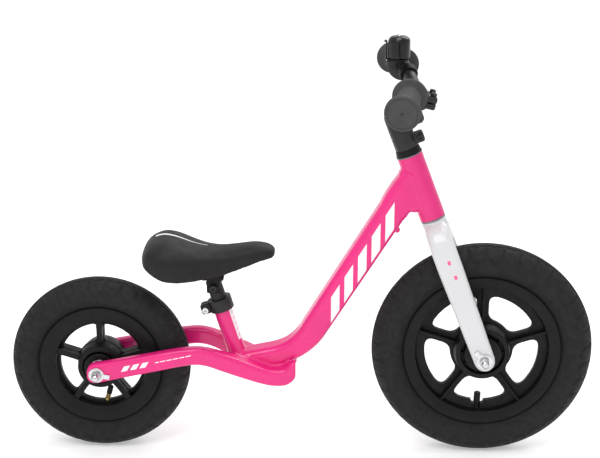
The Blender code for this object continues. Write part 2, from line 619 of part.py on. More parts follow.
def handlebar():
    low = Vector((BAR_CENTRE.x, BEND_START_Y, BAR_CENTRE.z))
    left = [GRIP_ROOT + GRIP_WAY * BAR_TIP, GRIP_ROOT, low]
    path = filleted(left + [mirrored_y(point) for point in reversed(left)], 0.040, 3)
    curve = bpy.data.curves.new("handlebar", "CURVE")
    curve.dimensions = "3D"
    curve.bevel_depth = BAR_R
    curve.bevel_resolution = 2
    curve.use_fill_caps = True
    spline = curve.splines.new("POLY")
    spline.points.add(len(path) - 1)
    for place, point in zip(spline.points, path):
        place.co = (*point, 1.0)
    return add_object("handlebar", curve, Matrix(), BLACK_ALLOY)


def aim(origin, direction):
    """A frame at a point, with local Z along a direction and local X as near forward as it can be."""
    z_axis = Vector(direction).normalized()
    y_axis = z_axis.cross((1, 0, 0)).normalized()
    x_axis = y_axis.cross(z_axis)
    turn = Matrix((x_axis, y_axis, z_axis)).transposed().to_4x4()
    return Matrix.Translation(origin) @ turn


def grip(name, side):
    root, way = (GRIP_ROOT, GRIP_WAY) if side > 0 else (mirrored_y(GRIP_ROOT), mirrored_y(GRIP_WAY))
    start = (GRIP_START - GRIP_ROOT.y) / GRIP_WAY.y
    end = (GRIP_END - GRIP_ROOT.y) / GRIP_WAY.y
    bore = BAR_R + GAP
    profile = [(0.0, end), (GRIP_FLANGE_R - 0.0020, end), (GRIP_FLANGE_R, end - 0.0020),
               (GRIP_FLANGE_R, end - 0.0070), (GRIP_R, end - 0.0090), (GRIP_R, start + 0.0065),
               (GRIP_FLANGE_R, start + 0.0045),
               (GRIP_FLANGE_R, start + 0.0015), (GRIP_FLANGE_R - 0.0015, start), (bore, start),
               (bore, BAR_TIP + 2 * GAP), (0.0, BAR_TIP + 2 * GAP)]
    return turned(name, profile, aim(root, way), RUBBER, 20, closed=False)


STEM_TOP, STEM_CAP_LOW, STEERER_BORE_TOP = 0.3625, 0.3638, 0.3660   # along the steering axis
ARM_LOW, ARM_HIGH = (0.0120, -0.0130, 0.3440), (0.0360, 0.0130, 0.3800)
BAR_CLAMP_R, BAR_CLAMP_HALF = 0.0145, 0.0185
BAR_EAR_HALF_H, BAR_EAR_REACH = 0.0090, 0.0240
STEM_EARS_LOW, STEM_EARS_HIGH = (0.0120, -0.0085, 0.3180), (0.0275, 0.0085, 0.3325)
STEM_BOLT, BAR_BOLT_FORWARD, BAR_BOLT_Y = (0.0215, 0.0, 0.3255), 0.0180, 0.0115
SLIT_HALF = 0.0010


def stem():
    body = rod("stem_body", STEM_R, HEAD_HIGH + COVER_TOP + GAP, STEM_TOP, STEER, BLACK_ALLOY, 24)
    bar_at = STEER @ Matrix.Translation((BAR_FORWARD, 0, BAR_ALONG)) @ Matrix.Rotation(EAR_DROP, 4, "Y")
    bar_across = bar_at @ ACROSS
    combine(body, block("join_stem_arm", ARM_LOW, ARM_HIGH, STEER, None, 0.004), "UNION")
    combine(body, rod("join_bar_clamp", BAR_CLAMP_R, -BAR_CLAMP_HALF, BAR_CLAMP_HALF, bar_across, None, 20),
            "UNION")
    combine(body, block("join_bar_ears", (0.0080, -BAR_CLAMP_HALF, -BAR_EAR_HALF_H),
                        (BAR_EAR_REACH, BAR_CLAMP_HALF, BAR_EAR_HALF_H), bar_at, None, 0.002), "UNION")
    combine(body, block("join_stem_ears", STEM_EARS_LOW, STEM_EARS_HIGH, STEER, None, 0.002), "UNION")
    combine(body, rod("cut_stem_bore", STEERER_R + GAP, 0.31, STEERER_BORE_TOP, STEER, None, 20))
    combine(body, rod("cut_stem_cap", 0.0164, STEM_CAP_LOW, 0.3900, STEER, None, 20))
    combine(body, rod("cut_bar_bore", BAR_R + GAP, -0.03, 0.03, bar_across, None, 20))
    combine(body, block("cut_bar_slit", (0.0040, -0.03, -SLIT_HALF), (0.03, 0.03, SLIT_HALF), bar_at, None))
    combine(body, block("cut_stem_slit", (0.0050, -SLIT_HALF, 0.30), (0.04, SLIT_HALF, 0.3380), STEER, None))
    stem_bolt_at = STEER @ Matrix.Translation(STEM_BOLT) @ ACROSS @ Matrix.Rotation(pi, 4, "X")
    combine(body, rod("cut_stem_bolt", CLAMP_BOLT_HOLE_R, -0.03, 0.03, stem_bolt_at, None))
    pieces = [body, socket_bolt("stem_bolt", 0.0025, 0.0043, 0.0088, -0.0080, 0.0040, stem_bolt_at, STEEL)]
    for word, side in (("right", -1), ("left", 1)):
        at = bar_at @ Matrix.Translation((BAR_BOLT_FORWARD, side * BAR_BOLT_Y, 0))
        combine(body, rod("cut_bar_bolt_" + word, CLAMP_BOLT_HOLE_R, -0.03, 0.03, at, None))
        pieces.append(socket_bolt("bar_bolt_" + word, 0.0025, 0.0043, 0.0093, -0.0085, 0.0040, at, STEEL))
    cap_low, cap_high = STEM_CAP_LOW + 0.0005, 0.3668
    pieces.append(turned("stem_cap", [(0.0150, cap_high), (0.0158, cap_high - 0.0013), (0.0158, cap_low),
                                      (0.0030, cap_low), (0.0030, cap_high)], STEER, BLACK_ALLOY, 20))
    pieces.append(socket_bolt("stem_cap_bolt", 0.0027, 0.0046, cap_high + GAP, 0.3450, 0.0030, STEER, STEEL))
    return pieces


BELL_SHARE = 0.725                          # place of the bell between the two bends of the bar
BELL_FOOT, BELL_TOP = 0.5580, 0.5930        # heights of the base disc's underside and of the dome
BELL_X = 0.1358
BELL_R = 0.0155


def bell():
    low = Vector((BAR_CENTRE.x, BEND_START_Y, BAR_CENTRE.z))
    on_bar = low.lerp(GRIP_ROOT, BELL_SHARE)
    along_bar = aim(on_bar, GRIP_ROOT - low)
    centre = Matrix.Translation((BELL_X, on_bar.y, 0))
    disc = BELL_FOOT + 0.0030
    clamp = rod("bell_clamp", 0.0128, -0.0060, 0.0060, along_bar, BLACK_PLASTIC, 20)
    neck_way = Vector((BELL_X, on_bar.y, BELL_FOOT - 0.0010)) - on_bar
    neck = block("join_bell_neck", (-0.0055, -0.0055, 0.0110), (0.0055, 0.0055, neck_way.length + 0.0005),
                 aim(on_bar, neck_way), None)
    combine(clamp, neck, "UNION")
    combine(clamp, rod("join_bell_disc", 0.0138, BELL_FOOT, disc, centre, None, 18), "UNION")
    hinge_x, hinge_z = -0.0175, BELL_FOOT + 0.0015
    for side in (-1, 1):
        low_y, high_y = sorted((side * 0.0042, side * 0.0062))
        combine(clamp, block(f"join_bell_lug_{side}", (hinge_x - 0.0018, low_y, BELL_FOOT - 0.0005),
                             (-0.0100, high_y, disc - 0.0004), centre, None), "UNION")
    hinge = centre @ Matrix.Translation((hinge_x, 0, hinge_z))
    combine(clamp, rod("cut_bell_pin", 0.0013, -0.009, 0.009, hinge @ ACROSS, None, 12))
    combine(clamp, rod("cut_bell_bar", BAR_R + GAP, -0.02, 0.02, along_bar, None, 20))
    wall, hole = 0.0012, 0.0021
    dome = turned("bell_dome", [
        (hole, BELL_TOP), (0.0110, BELL_TOP - 0.0008), (BELL_R, BELL_TOP - 0.0065),
        (BELL_R, disc + 0.0015), (BELL_R - wall, disc + 0.0015), (BELL_R - wall, BELL_TOP - 0.0072),
        (0.0103, BELL_TOP - 0.0022), (hole, BELL_TOP - 0.0013)],
        centre, BLACK_METAL, 20)
    screw = turned("bell_screw", [(0.0, BELL_TOP + 0.0018), (0.0030, BELL_TOP + 0.0014),
                                  (0.0040, BELL_TOP + GAP), (0.0018, BELL_TOP + GAP), (0.0018, disc + GAP),
                                  (0.0, disc + GAP)], centre, STEEL, 16, closed=False)
    lever = block("bell_lever", (-0.0010, -0.0038, -0.0022), (0.0008, 0.0038, 0.0270), hinge,
                  BLACK_PLASTIC, 0.0003)
    combine(lever, block("join_lever_tab", (-0.0032, -0.0038, 0.0250), (0.0, 0.0038, 0.0268), hinge, None),
            "UNION")
    combine(lever, rod("join_lever_knuckle", 0.0022, -0.0038, 0.0038, hinge @ ACROSS, None, 14), "UNION")
    combine(lever, rod("cut_lever_pin", 0.0013, -0.009, 0.009, hinge @ ACROSS, None, 12))
    pin = rod("bell_lever_pin", 0.0010, -0.0064, 0.0064, hinge @ ACROSS, STEEL, 12)
    pivot("bell_lever_pivot", hinge, [lever])
    return [clamp, dome, screw, pin], lever


# Build

clear_scene()
PARTS = new_collection("balance_bike")
CUTTERS = new_collection("cutters")
PINK = material("pink_paint", (0.80, 0.02, 0.21), 0.30)
WHITE = material("white_paint", (0.86, 0.86, 0.86), 0.32)
RUBBER = material("black_rubber", (0.030, 0.030, 0.032), 0.80)
BLACK_PLASTIC = material("black_plastic", (0.022, 0.022, 0.024), 0.50)
BLACK_ALLOY = material("black_alloy", (0.020, 0.020, 0.021), 0.38, 0.6)
BLACK_METAL = material("black_metal", (0.018, 0.018, 0.019), 0.30, 0.7)
GREY_ALLOY = material("grey_alloy", (0.25, 0.27, 0.28), 0.40, 0.9)
VINYL = material("black_vinyl", (0.022, 0.022, 0.023), 0.60)
STEEL = material("zinc_steel", (0.62, 0.62, 0.63), 0.32, 1.0)

down_tube()
head_tube()
seat_tube()
chainstay("chainstay_right", -1)
chainstay("chainstay_left", 1)
seat_collar()
axle_set("rear", REAR_AXLE, radians(100))
bearings_and_cover = headset()
bell_pieces, bell_lever_piece = bell()
steering = bearings_and_cover[2:] + fork() + stem() + bell_pieces
steering += [handlebar(), grip("grip_right", -1), grip("grip_left", 1)]
steering += axle_set("front", FRONT_AXLE, radians(-40))
pivot("steering_pivot", STEER, steering)
wheel("front", FRONT_AXLE, 0.1570, 0.1125, 0.0270, FRONT_SPEC, FRONT_VALVE)
wheel("rear", REAR_AXLE, 0.1290, 0.0890, 0.0260, REAR_SPEC, REAR_VALVE)
seat_post()
saddle()
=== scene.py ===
"""Looks of the balance bike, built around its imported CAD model.

Units are metres, +X is forward, +Y is the rider's left and +Z is up. Every piece is made in place, so its
object coordinates are those of the bike at rest, and the painted marks are drawn in them.
"""

import json
from math import atan2, cos, pi, radians, sin, sqrt, tan

import bmesh
import bpy
from mathutils import Matrix, Vector


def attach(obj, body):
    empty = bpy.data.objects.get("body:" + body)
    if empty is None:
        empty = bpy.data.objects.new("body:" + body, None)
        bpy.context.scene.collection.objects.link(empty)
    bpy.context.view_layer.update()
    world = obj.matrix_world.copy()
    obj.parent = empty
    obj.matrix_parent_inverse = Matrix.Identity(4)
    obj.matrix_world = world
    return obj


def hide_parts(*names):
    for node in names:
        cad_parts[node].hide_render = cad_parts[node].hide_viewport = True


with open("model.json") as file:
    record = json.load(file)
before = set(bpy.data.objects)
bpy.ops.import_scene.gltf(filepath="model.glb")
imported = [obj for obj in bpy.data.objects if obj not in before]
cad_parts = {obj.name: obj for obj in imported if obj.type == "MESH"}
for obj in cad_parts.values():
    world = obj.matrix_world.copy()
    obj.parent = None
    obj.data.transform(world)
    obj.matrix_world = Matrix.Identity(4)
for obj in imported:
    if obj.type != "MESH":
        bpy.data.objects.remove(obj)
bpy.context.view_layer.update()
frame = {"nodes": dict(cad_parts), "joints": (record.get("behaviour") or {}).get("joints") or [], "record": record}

RECORD = frame["record"]
NODES = frame["nodes"]
JOINTS = {joint["name"]: joint for joint in frame["joints"]}
BODY_OF = {node: body for body, nodes in RECORD["behaviour"]["bodies"].items() for node in nodes}


# Frames of reference: local Z is the axis, local X points forward, local Y is the rider's left

def axis_frame(origin, axis):
    z_axis = Vector(axis).normalized()
    y_axis = Vector((0, 1, 0))
    turn = Matrix((y_axis.cross(z_axis), y_axis, z_axis)).transposed().to_4x4()
    return Matrix.Translation(origin) @ turn


FRONT_AXLE = Vector(JOINTS["front_wheel_spin"]["pos_m"])
REAR_AXLE = Vector(JOINTS["rear_wheel_spin"]["pos_m"])
STEER = axis_frame(JOINTS["steering"]["pos_m"], JOINTS["steering"]["axis"])
SEAT_TOP = Vector((-0.1154, 0.0, 0.2280))
SEAT = axis_frame(SEAT_TOP, JOINTS["seat_height"]["axis"])
ACROSS = Matrix.Rotation(-pi / 2, 4, "X")      # turns local Z to +Y
HEAD_LOW, HEAD_HIGH, HEAD_R = 0.2104, 0.3057, 0.018
SEAT_TUBE_R = 0.0132
SKIN_VOXEL = 0.0012                            # grid of the welded skins of frame and fork


# Makers. Each gives a mesh object in the bike's own coordinates

def add_object(name, mesh, matrix=None):
    made = bpy.data.objects.new(name, mesh)
    bpy.context.scene.collection.objects.link(made)
    if matrix is not None:
        mesh.transform(matrix)
    return made


def smooth(obj, angle=38.0):
    obj.data.shade_smooth()
    obj.data.set_sharp_from_angle(angle=radians(angle))
    return obj


def applied(obj):
    """Replaces the object's mesh by what its modifiers make of it."""
    graph = bpy.context.evaluated_depsgraph_get()
    mesh = bpy.data.meshes.new_from_object(obj.evaluated_get(graph), depsgraph=graph)
    obj.modifiers.clear()
    obj.data = mesh
    return obj


def with_bmesh(obj, edit):
    bm = bmesh.new()
    bm.from_mesh(obj.data)
    edit(bm)
    bm.to_mesh(obj.data)
    bm.free()
    return obj


def face_out(obj):
    return with_bmesh(obj, lambda bm: bmesh.ops.recalc_face_normals(bm, faces=bm.faces))


def turned(name, profile, matrix, steps=96, closed=True):
    """Turns (radius, height) points about local Z."""
    mesh = bpy.data.meshes.new(name)
    count = len(profile)
    edges = [(i, (i + 1) % count) for i in range(count if closed else count - 1)]
    mesh.from_pydata([(r, 0.0, z) for r, z in profile], edges, [])
    made = add_object(name, mesh)
    screw = made.modifiers.new("turn", "SCREW")
    screw.steps = screw.render_steps = steps
    screw.use_merge_vertices = True
    screw.merge_threshold = 0.00001
    applied(made)
    made.data.transform(matrix)
    return smooth(face_out(made))


def rod(name, radius, low, high, matrix, steps=64):
    profile = [(0.0, high), (radius, high), (radius, low), (0.0, low)]
    return turned(name, profile, matrix, steps, closed=False)


def rounded(points, radius, closed=True, steps=3):
    """An outline with each corner replaced by a short curve."""
    smoothed = []
    for i, point in enumerate(points):
        if not closed and i in (0, len(points) - 1):
            smoothed.append(tuple(point))
            continue
        corner = Vector(point)
        back = Vector(points[i - 1]) - corner
        ahead = Vector(points[(i + 1) % len(points)]) - corner
        reach = min(radius, 0.4 * back.length, 0.4 * ahead.length)
        start, end = corner + back.normalized() * reach, corner + ahead.normalized() * reach
        for step in range(steps + 1):
            share = step / steps
            smoothed.append(tuple(start.lerp(corner, share).lerp(corner.lerp(end, share), share)))
    return smoothed


def rounded_box(half_u, half_v, corner, arc_steps=8):
    corner = min(corner, half_u, half_v)
    points = []
    for quarter, (side_u, side_v) in enumerate([(1, 1), (-1, 1), (-1, -1), (1, -1)]):
        for step in range(arc_steps + 1):
            angle = (quarter + step / arc_steps) * pi / 2
            points.append((side_u * (half_u - corner) + corner * cos(angle),
                           side_v * (half_v - corner) + corner * sin(angle)))
    return points


def loft(name, rings, matrix=None):
    """Skins a row of rings that have the same number of points, and closes both ends."""
    count = len(rings[0])
    faces = [(k * count + i, k * count + (i + 1) % count,
              (k + 1) * count + (i + 1) % count, (k + 1) * count + i)
             for k in range(len(rings) - 1) for i in range(count)]
    faces += [tuple(range(count)), tuple(range((len(rings) - 1) * count, len(rings) * count))]
    mesh = bpy.data.meshes.new(name)
    mesh.from_pydata([tuple(point) for ring in rings for point in ring], [], faces)
    return smooth(face_out(add_object(name, mesh, matrix)))


def in_between(rows, steps):
    """Rows of numbers with smooth rows added between them (a Catmull-Rom curve through each column)."""
    padded = [rows[0], *rows, rows[-1]]
    out = []
    for before, low, high, after in zip(padded, padded[1:], padded[2:], padded[3:]):
        for step in range(steps):
            t = step / steps
            out.append([0.5 * (2 * q + (r - p) * t + (2 * p - 5 * q + 4 * r - s) * t ** 2
                               + (3 * q - p - 3 * r + s) * t ** 3)
                        for p, q, r, s in zip(before, low, high, after)])
    return out + [list(rows[-1])]


def merged(name, pieces):
    """One object holding the meshes of several, which are removed."""
    bm = bmesh.new()
    for piece in pieces:
        bm.from_mesh(piece.data)
        bpy.data.objects.remove(piece)
    mesh = bpy.data.meshes.new(name)
    bm.to_mesh(mesh)
    bm.free()
    return add_object(name, mesh)


def skinned(obj, voxel, rounds):
    """One even skin over overlapping closed shapes, with soft fillets where they meet."""
    remesh = obj.modifiers.new("skin", "REMESH")
    remesh.mode = "VOXEL"
    remesh.voxel_size = voxel
    soften = obj.modifiers.new("soften", "SMOOTH")
    soften.factor = 0.5
    soften.iterations = rounds
    return applied(obj)


def combine(target, other, operation="DIFFERENCE"):
    modifier = target.modifiers.new(other.name, "BOOLEAN")
    modifier.operation = operation
    modifier.object = other
    applied(target)
    bpy.data.objects.remove(other)
    return target


def place(piece, body, finish, nodes=()):
    """Gives a finished piece its material, its body and the CAD nodes that it stands for."""
    piece.data.materials.clear()
    piece.data.materials.append(finish)
    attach(piece, body)
    if nodes:
        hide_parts(*nodes)
    return piece


# Materials

class Finish:
    """A Principled material under construction, with short calls for its nodes."""

    def __init__(self, name, roughness, metallic=0.0, **fixed):
        self.material = bpy.data.materials.new(name)
        self.material.use_nodes = True
        self.tree = self.material.node_tree
        self.shader = self.tree.nodes["Principled BSDF"]
        self.shader.inputs["Metallic"].default_value = metallic
        self.shader.inputs["Roughness"].default_value = roughness
        for socket, value in fixed.items():
            self.shader.inputs[socket.replace("_", " ")].default_value = value
        self.place = self.node("ShaderNodeTexCoord").outputs["Object"]

    def node(self, kind, inputs=None, **settings):
        made = self.tree.nodes.new(kind)
        for key, value in settings.items():
            setattr(made, key, value)
        for key, value in (inputs or {}).items():
            self.feed(made.inputs[key], value)
        return made

    def feed(self, socket, value):
        if isinstance(value, bpy.types.NodeSocket):
            self.tree.links.new(value, socket)
        else:
            socket.default_value = value

    def math(self, operation, first, second=0.0):
        return self.node("ShaderNodeMath", {0: first, 1: second}, operation=operation).outputs[0]

    def along(self, direction, origin=(0, 0, 0)):
        """Distance from the origin along a direction."""
        offset = self.node("ShaderNodeVectorMath", {0: self.place, 1: tuple(origin)}, operation="SUBTRACT")
        return self.node("ShaderNodeVectorMath", {0: offset.outputs[0], 1: tuple(direction)},
                         operation="DOT_PRODUCT").outputs["Value"]

    def noise(self, scale, detail=3.0, stretch=(1, 1, 1)):
        where = self.node("ShaderNodeMapping", {"Vector": self.place, "Scale": stretch}).outputs[0]
        inputs = {"Vector": where, "Scale": scale, "Detail": detail}
        return self.node("ShaderNodeTexNoise", inputs).outputs[0]

    def cells(self, scale):
        return self.node("ShaderNodeTexVoronoi", {"Vector": self.place, "Scale": scale},
                         feature="DISTANCE_TO_EDGE").outputs["Distance"]

    def ranged(self, value, low, high, to_low, to_high):
        return self.node("ShaderNodeMapRange", {0: value, 1: low, 2: high, 3: to_low, 4: to_high},
                         interpolation_type="SMOOTHSTEP").outputs[0]

    def band(self, value, low, high, soft=0.00025):
        """1 between low and high, 0 outside."""
        rise = self.ranged(value, low - soft, low + soft, 0.0, 1.0)
        fall = self.ranged(value, high - soft, high + soft, 1.0, 0.0)
        return self.math("MULTIPLY", rise, fall)

    def all_of(self, *masks):
        result = masks[0]
        for mask in masks[1:]:
            result = self.math("MULTIPLY", result, mask)
        return result

    def mix(self, share, first, second):
        return self.node("ShaderNodeMix", {0: share, 6: first, 7: second}, data_type="RGBA").outputs[2]

    def color(self, value):
        self.feed(self.shader.inputs["Base Color"], value)

    def mottled(self, rgb, spread, scale):
        """A colour that varies a little from place to place."""
        low = (*[c * (1 - spread) for c in rgb], 1.0)
        high = (*[min(1.0, c * (1 + spread)) for c in rgb], 1.0)
        return self.mix(self.ranged(self.noise(scale, 4.0), 0.3, 0.7, 0.0, 1.0), low, high)

    def roughness(self, low, high, scale, stretch=(1, 1, 1)):
        value = self.ranged(self.noise(scale, 3.0, stretch), 0.3, 0.7, low, high)
        self.feed(self.shader.inputs["Roughness"], value)

    def bump(self, height, distance, strength=1.0):
        made = self.node("ShaderNodeBump", {"Height": height, "Distance": distance, "Strength": strength})
        self.feed(self.shader.inputs["Normal"], made.outputs[0])


PINK = (0.745, 0.014, 0.195)
WHITE = (0.64, 0.64, 0.655)
MARK_WHITE = (0.86, 0.85, 0.86, 1.0)
LACQUER = {"Specular_IOR_Level": 0.35, "Coat_Weight": 0.35, "Coat_Roughness": 0.08}
TUBE_TOP = Vector((0.1274, 0.0, 0.3618))       # on the down tube's centreline, where its head flare starts
TUBE_ANGLE = radians(58.5)


def side_only(finish, half_width):
    """1 on both outer sides of the bike beyond a distance from its middle plane."""
    sideways = finish.math("ABSOLUTE", finish.along((0, 1, 0)))
    return finish.ranged(sideways, half_width - 0.0004, half_width + 0.0004, 0.0, 1.0)


def repeated(finish, value, pitch, share):
    """1 over the first part of each pitch."""
    phase = finish.math("FRACT", finish.math("DIVIDE", value, pitch))
    return finish.band(phase, 0.0, share, 0.02)


def down_tube_marks(finish):
    """A row of plain white bars with upright ends, along each side of the down tube."""
    first, last, pitch = 0.0440, 0.1345, 0.0186
    forward = finish.along((1, 0, 0), (first, 0, 0))
    across = finish.along((-sin(TUBE_ANGLE), 0, cos(TUBE_ANGLE)), TUBE_TOP)
    return finish.all_of(repeated(finish, forward, pitch, 0.64), finish.band(forward, 0.0, last - first),
                         finish.band(across, -0.0140, 0.0065), side_only(finish, 0.0120))


def stay_marks(finish):
    """Three short bars and a thin broken line on each outer side of the stays."""
    origin = (-0.2500, 0, 0.1385)
    stay_way = Vector((0.9780, 0, 0.2085))
    onward = finish.along(stay_way, origin)
    upward = finish.along((-stay_way.z, 0, stay_way.x), origin)
    leaning = finish.math("SUBTRACT", onward, finish.math("MULTIPLY", upward, 0.9))
    bars = finish.all_of(repeated(finish, leaning, 0.0135, 0.66), finish.band(leaning, 0.0, 0.0400),
                         finish.band(upward, -0.0036, 0.0036))
    dashes = finish.all_of(repeated(finish, onward, 0.0092, 0.82), finish.band(onward, 0.0480, 0.1010),
                           finish.band(upward, -0.0001, 0.0012))
    return finish.all_of(finish.math("MAXIMUM", bars, dashes), side_only(finish, 0.0440))


def seat_tube_marks(finish):
    """A white strip down the front of the seat tube, crossed by leaning pink bars."""
    forward, left = SEAT.col[0].xyz, SEAT.col[1].xyz
    ahead = finish.along(forward, SEAT_TOP)
    down = finish.along(-SEAT.col[2].xyz, SEAT_TOP)
    sideways = finish.along(left, SEAT_TOP)
    strip = finish.all_of(finish.band(ahead, 0.0095, 0.0160), finish.band(down, 0.0165, 0.0650))
    leaning = finish.math("ADD", down, finish.math("MULTIPLY", sideways, 0.8))
    bars = finish.all_of(repeated(finish, leaning, 0.0090, 0.22), finish.band(sideways, -0.0062, 0.0062))
    return finish.math("MULTIPLY", strip, finish.math("SUBTRACT", 1.0, bars))


def frame_paint():
    """Gloss pink lacquer with a faint orange-peel surface and plain white marks."""
    finish = Finish("frame_paint", 0.3, **LACQUER)
    marks = finish.math("MAXIMUM", down_tube_marks(finish),
                        finish.math("MAXIMUM", stay_marks(finish), seat_tube_marks(finish)))
    finish.color(finish.mix(marks, finish.mottled(PINK, 0.04, 22.0), MARK_WHITE))
    finish.roughness(0.26, 0.36, 60.0)
    finish.bump(finish.noise(420.0, 2.0), 0.00006, 0.5)
    return finish.material


def fork_paint():
    """Gloss white lacquer, with two small pink bars on the outer side of each leg."""
    finish = Finish("fork_paint", 0.3, **LACQUER)
    forward = finish.along(STEER.col[0].xyz, FRONT_AXLE)
    up = finish.along(STEER.col[2].xyz, FRONT_AXLE)
    low = finish.all_of(finish.band(up, 0.1290, 0.1350), finish.band(forward, 0.0010, 0.0052))
    high = finish.all_of(finish.band(up, 0.1520, 0.1580), finish.band(forward, -0.0006, 0.0036))
    marks = finish.all_of(finish.math("MAXIMUM", low, high), side_only(finish, 0.0420))
    finish.color(finish.mix(marks, finish.mottled(WHITE, 0.015, 18.0), (0.80, 0.10, 0.25, 1.0)))
    finish.roughness(0.26, 0.36, 60.0)
    finish.bump(finish.noise(420.0, 2.0), 0.00006, 0.5)
    return finish.material


def tyre_rubber():
    """Matt black rubber with moulding grain and faint scuffs."""
    finish = Finish("tyre_rubber", 0.75, Specular_IOR_Level=0.25)
    finish.color(finish.mottled((0.0115, 0.0115, 0.0125), 0.10, 45.0))
    finish.roughness(0.62, 0.82, 120.0)
    finish.bump(finish.noise(1500.0, 3.0), 0.00012, 0.6)
    return finish.material


def grip_rubber():
    """Soft matt rubber with a fine stipple."""
    finish = Finish("grip_rubber", 0.7, Specular_IOR_Level=0.3)
    finish.color(finish.mottled((0.050, 0.050, 0.051), 0.08, 60.0))
    finish.roughness(0.60, 0.74, 150.0)
    finish.bump(finish.cells(900.0), 0.00015, 0.7)
    return finish.material


def black_plastic():
    """Moulded nylon with a fine spark-eroded texture."""
    finish = Finish("black_plastic", 0.5, Specular_IOR_Level=0.2)
    finish.color(finish.mottled((0.0045, 0.0045, 0.0050), 0.12, 50.0))
    finish.roughness(0.38, 0.55, 90.0)
    finish.bump(finish.noise(1100.0, 2.0), 0.00008, 0.5)
    return finish.material


def black_alloy():
    """Satin black paint over alloy."""
    finish = Finish("black_alloy", 0.42, Specular_IOR_Level=0.3, Coat_Weight=0.1, Coat_Roughness=0.3)
    finish.color(finish.mottled((0.0125, 0.0125, 0.0130), 0.10, 70.0))
    finish.roughness(0.36, 0.50, 110.0)
    finish.bump(finish.noise(700.0, 3.0), 0.00006, 0.5)
    return finish.material


def grey_alloy():
    """Bead-blasted grey alloy."""
    finish = Finish("grey_alloy", 0.4, metallic=0.8)
    finish.color(finish.mottled((0.24, 0.25, 0.26), 0.12, 200.0))
    finish.roughness(0.34, 0.50, 300.0)
    finish.bump(finish.noise(1600.0, 2.0), 0.00004, 0.5)
    return finish.material


def bell_metal():
    """Glossy black enamel on the bell's dome."""
    finish = Finish("bell_metal", 0.2, Specular_IOR_Level=0.25, Coat_Weight=0.2, Coat_Roughness=0.06)
    finish.color(finish.mottled((0.003, 0.003, 0.0033), 0.10, 90.0))
    finish.roughness(0.18, 0.27, 150.0)
    finish.bump(finish.noise(500.0, 2.0), 0.00003, 0.4)
    return finish.material


def vinyl():
    """Black grained vinyl with a plain white stripe that thins towards the nose."""
    finish = Finish("vinyl", 0.6, Specular_IOR_Level=0.22, Sheen_Weight=0.02, Sheen_Roughness=0.5)
    back = finish.along((-1, 0, 0), (STRIPE_FRONT, 0, 0))
    half = finish.ranged(back, 0.0, STRIPE_BACK_RUN, 0.0006, 0.0029)
    middle = finish.math("ABSOLUTE", finish.along((0, 1, 0), (0, STRIPE_Y, 0)))
    inside = finish.ranged(finish.math("SUBTRACT", middle, half), -0.0003, 0.0003, 1.0, 0.0)
    stripe = finish.all_of(inside, finish.band(back, 0.0, STRIPE_BACK_RUN),
                           finish.ranged(finish.along((0, 0, 1)), 0.2985, 0.2995, 0.0, 1.0))
    black = finish.mottled((0.0110, 0.0110, 0.0115), 0.08, 35.0)
    finish.color(finish.mix(stripe, black, (0.80, 0.80, 0.81, 1.0)))
    finish.roughness(0.48, 0.62, 80.0)
    grain = finish.math("ADD", finish.cells(620.0), finish.math("MULTIPLY", finish.noise(1400.0, 3.0), 0.4))
    finish.bump(grain, 0.00022, 0.6)
    return finish.material


def zinc_steel():
    """Bright zinc-plated steel with fine turning marks and slight clouding."""
    finish = Finish("zinc_steel", 0.3, metallic=1.0)
    finish.color(finish.mottled((0.66, 0.66, 0.68), 0.10, 160.0))
    finish.roughness(0.20, 0.38, 260.0, (1, 4, 1))
    finish.bump(finish.noise(900.0, 2.0, (1, 6, 1)), 0.00004, 0.5)
    return finish.material


def brass():
    """Dull brass of a valve stem."""
    finish = Finish("brass", 0.35, metallic=1.0)
    finish.color(finish.mottled((0.50, 0.38, 0.16), 0.15, 300.0))
    finish.roughness(0.28, 0.45, 300.0)
    finish.bump(finish.noise(1500.0, 2.0), 0.00003, 0.5)
    return finish.material


# Frame

FOOT_ANGLE = radians(12.0)
FOOT_END = Vector((-0.104, 0.0, 0.1298))       # rear end of the down tube, under the seat tube
BEND_RADIUS = 0.090
TUBE_HALF_WIDTH = 0.018
BEND_STEPS = 28


def down_tube():
    """Rows of centre x and z, angle of the section's long axis, half depth, half width and corner radius."""
    head = []
    for forward, along, half_depth, half_width in ((0.0, 0.2595, 0.0325, 0.0165),
                                                   (-0.019, 0.2578, 0.0312, 0.0172)):
        point = STEER @ Vector((forward, 0, along))
        head.append((point.x, point.z, radians(111.0), half_depth, half_width, 0.010))
    head.append((0.1418, 0.3850, radians(112.3), 0.0255, 0.0178, 0.010))
    head.append((TUBE_TOP.x, TUBE_TOP.z, pi / 2 + TUBE_ANGLE, 0.0195, TUBE_HALF_WIDTH, 0.0090))
    rows = in_between(head, 8)
    down, foot = Vector((cos(TUBE_ANGLE), sin(TUBE_ANGLE))), Vector((cos(FOOT_ANGLE), sin(FOOT_ANGLE)))
    gap = FOOT_END.xz - TUBE_TOP.xz
    corner = TUBE_TOP.xz + down * (gap.x * foot.y - gap.y * foot.x) / (down.x * foot.y - down.y * foot.x)
    reach = BEND_RADIUS * tan((TUBE_ANGLE - FOOT_ANGLE) / 2)
    middle = corner + down * reach + Vector((-down.y, down.x)) * BEND_RADIUS
    for step in range(BEND_STEPS + 1):
        share = step / BEND_STEPS
        angle = TUBE_ANGLE + (FOOT_ANGLE - TUBE_ANGLE) * share
        point = middle + Vector((sin(angle), -cos(angle))) * BEND_RADIUS
        rows.append((point.x, point.y, pi / 2 + angle, 0.0182 - 0.0027 * min(1.0, 1.7 * share),
                     TUBE_HALF_WIDTH, 0.0090))
    rows.append((FOOT_END.x, FOOT_END.z, pi / 2 + FOOT_ANGLE, 0.0155, TUBE_HALF_WIDTH, 0.0090))
    rings = [[(x + u * cos(angle), v, z + u * sin(angle)) for u, v in rounded_box(half_u, half_v, radius)]
             for x, z, angle, half_u, half_v, radius in rows]
    return loft("down_tube_skin", rings)


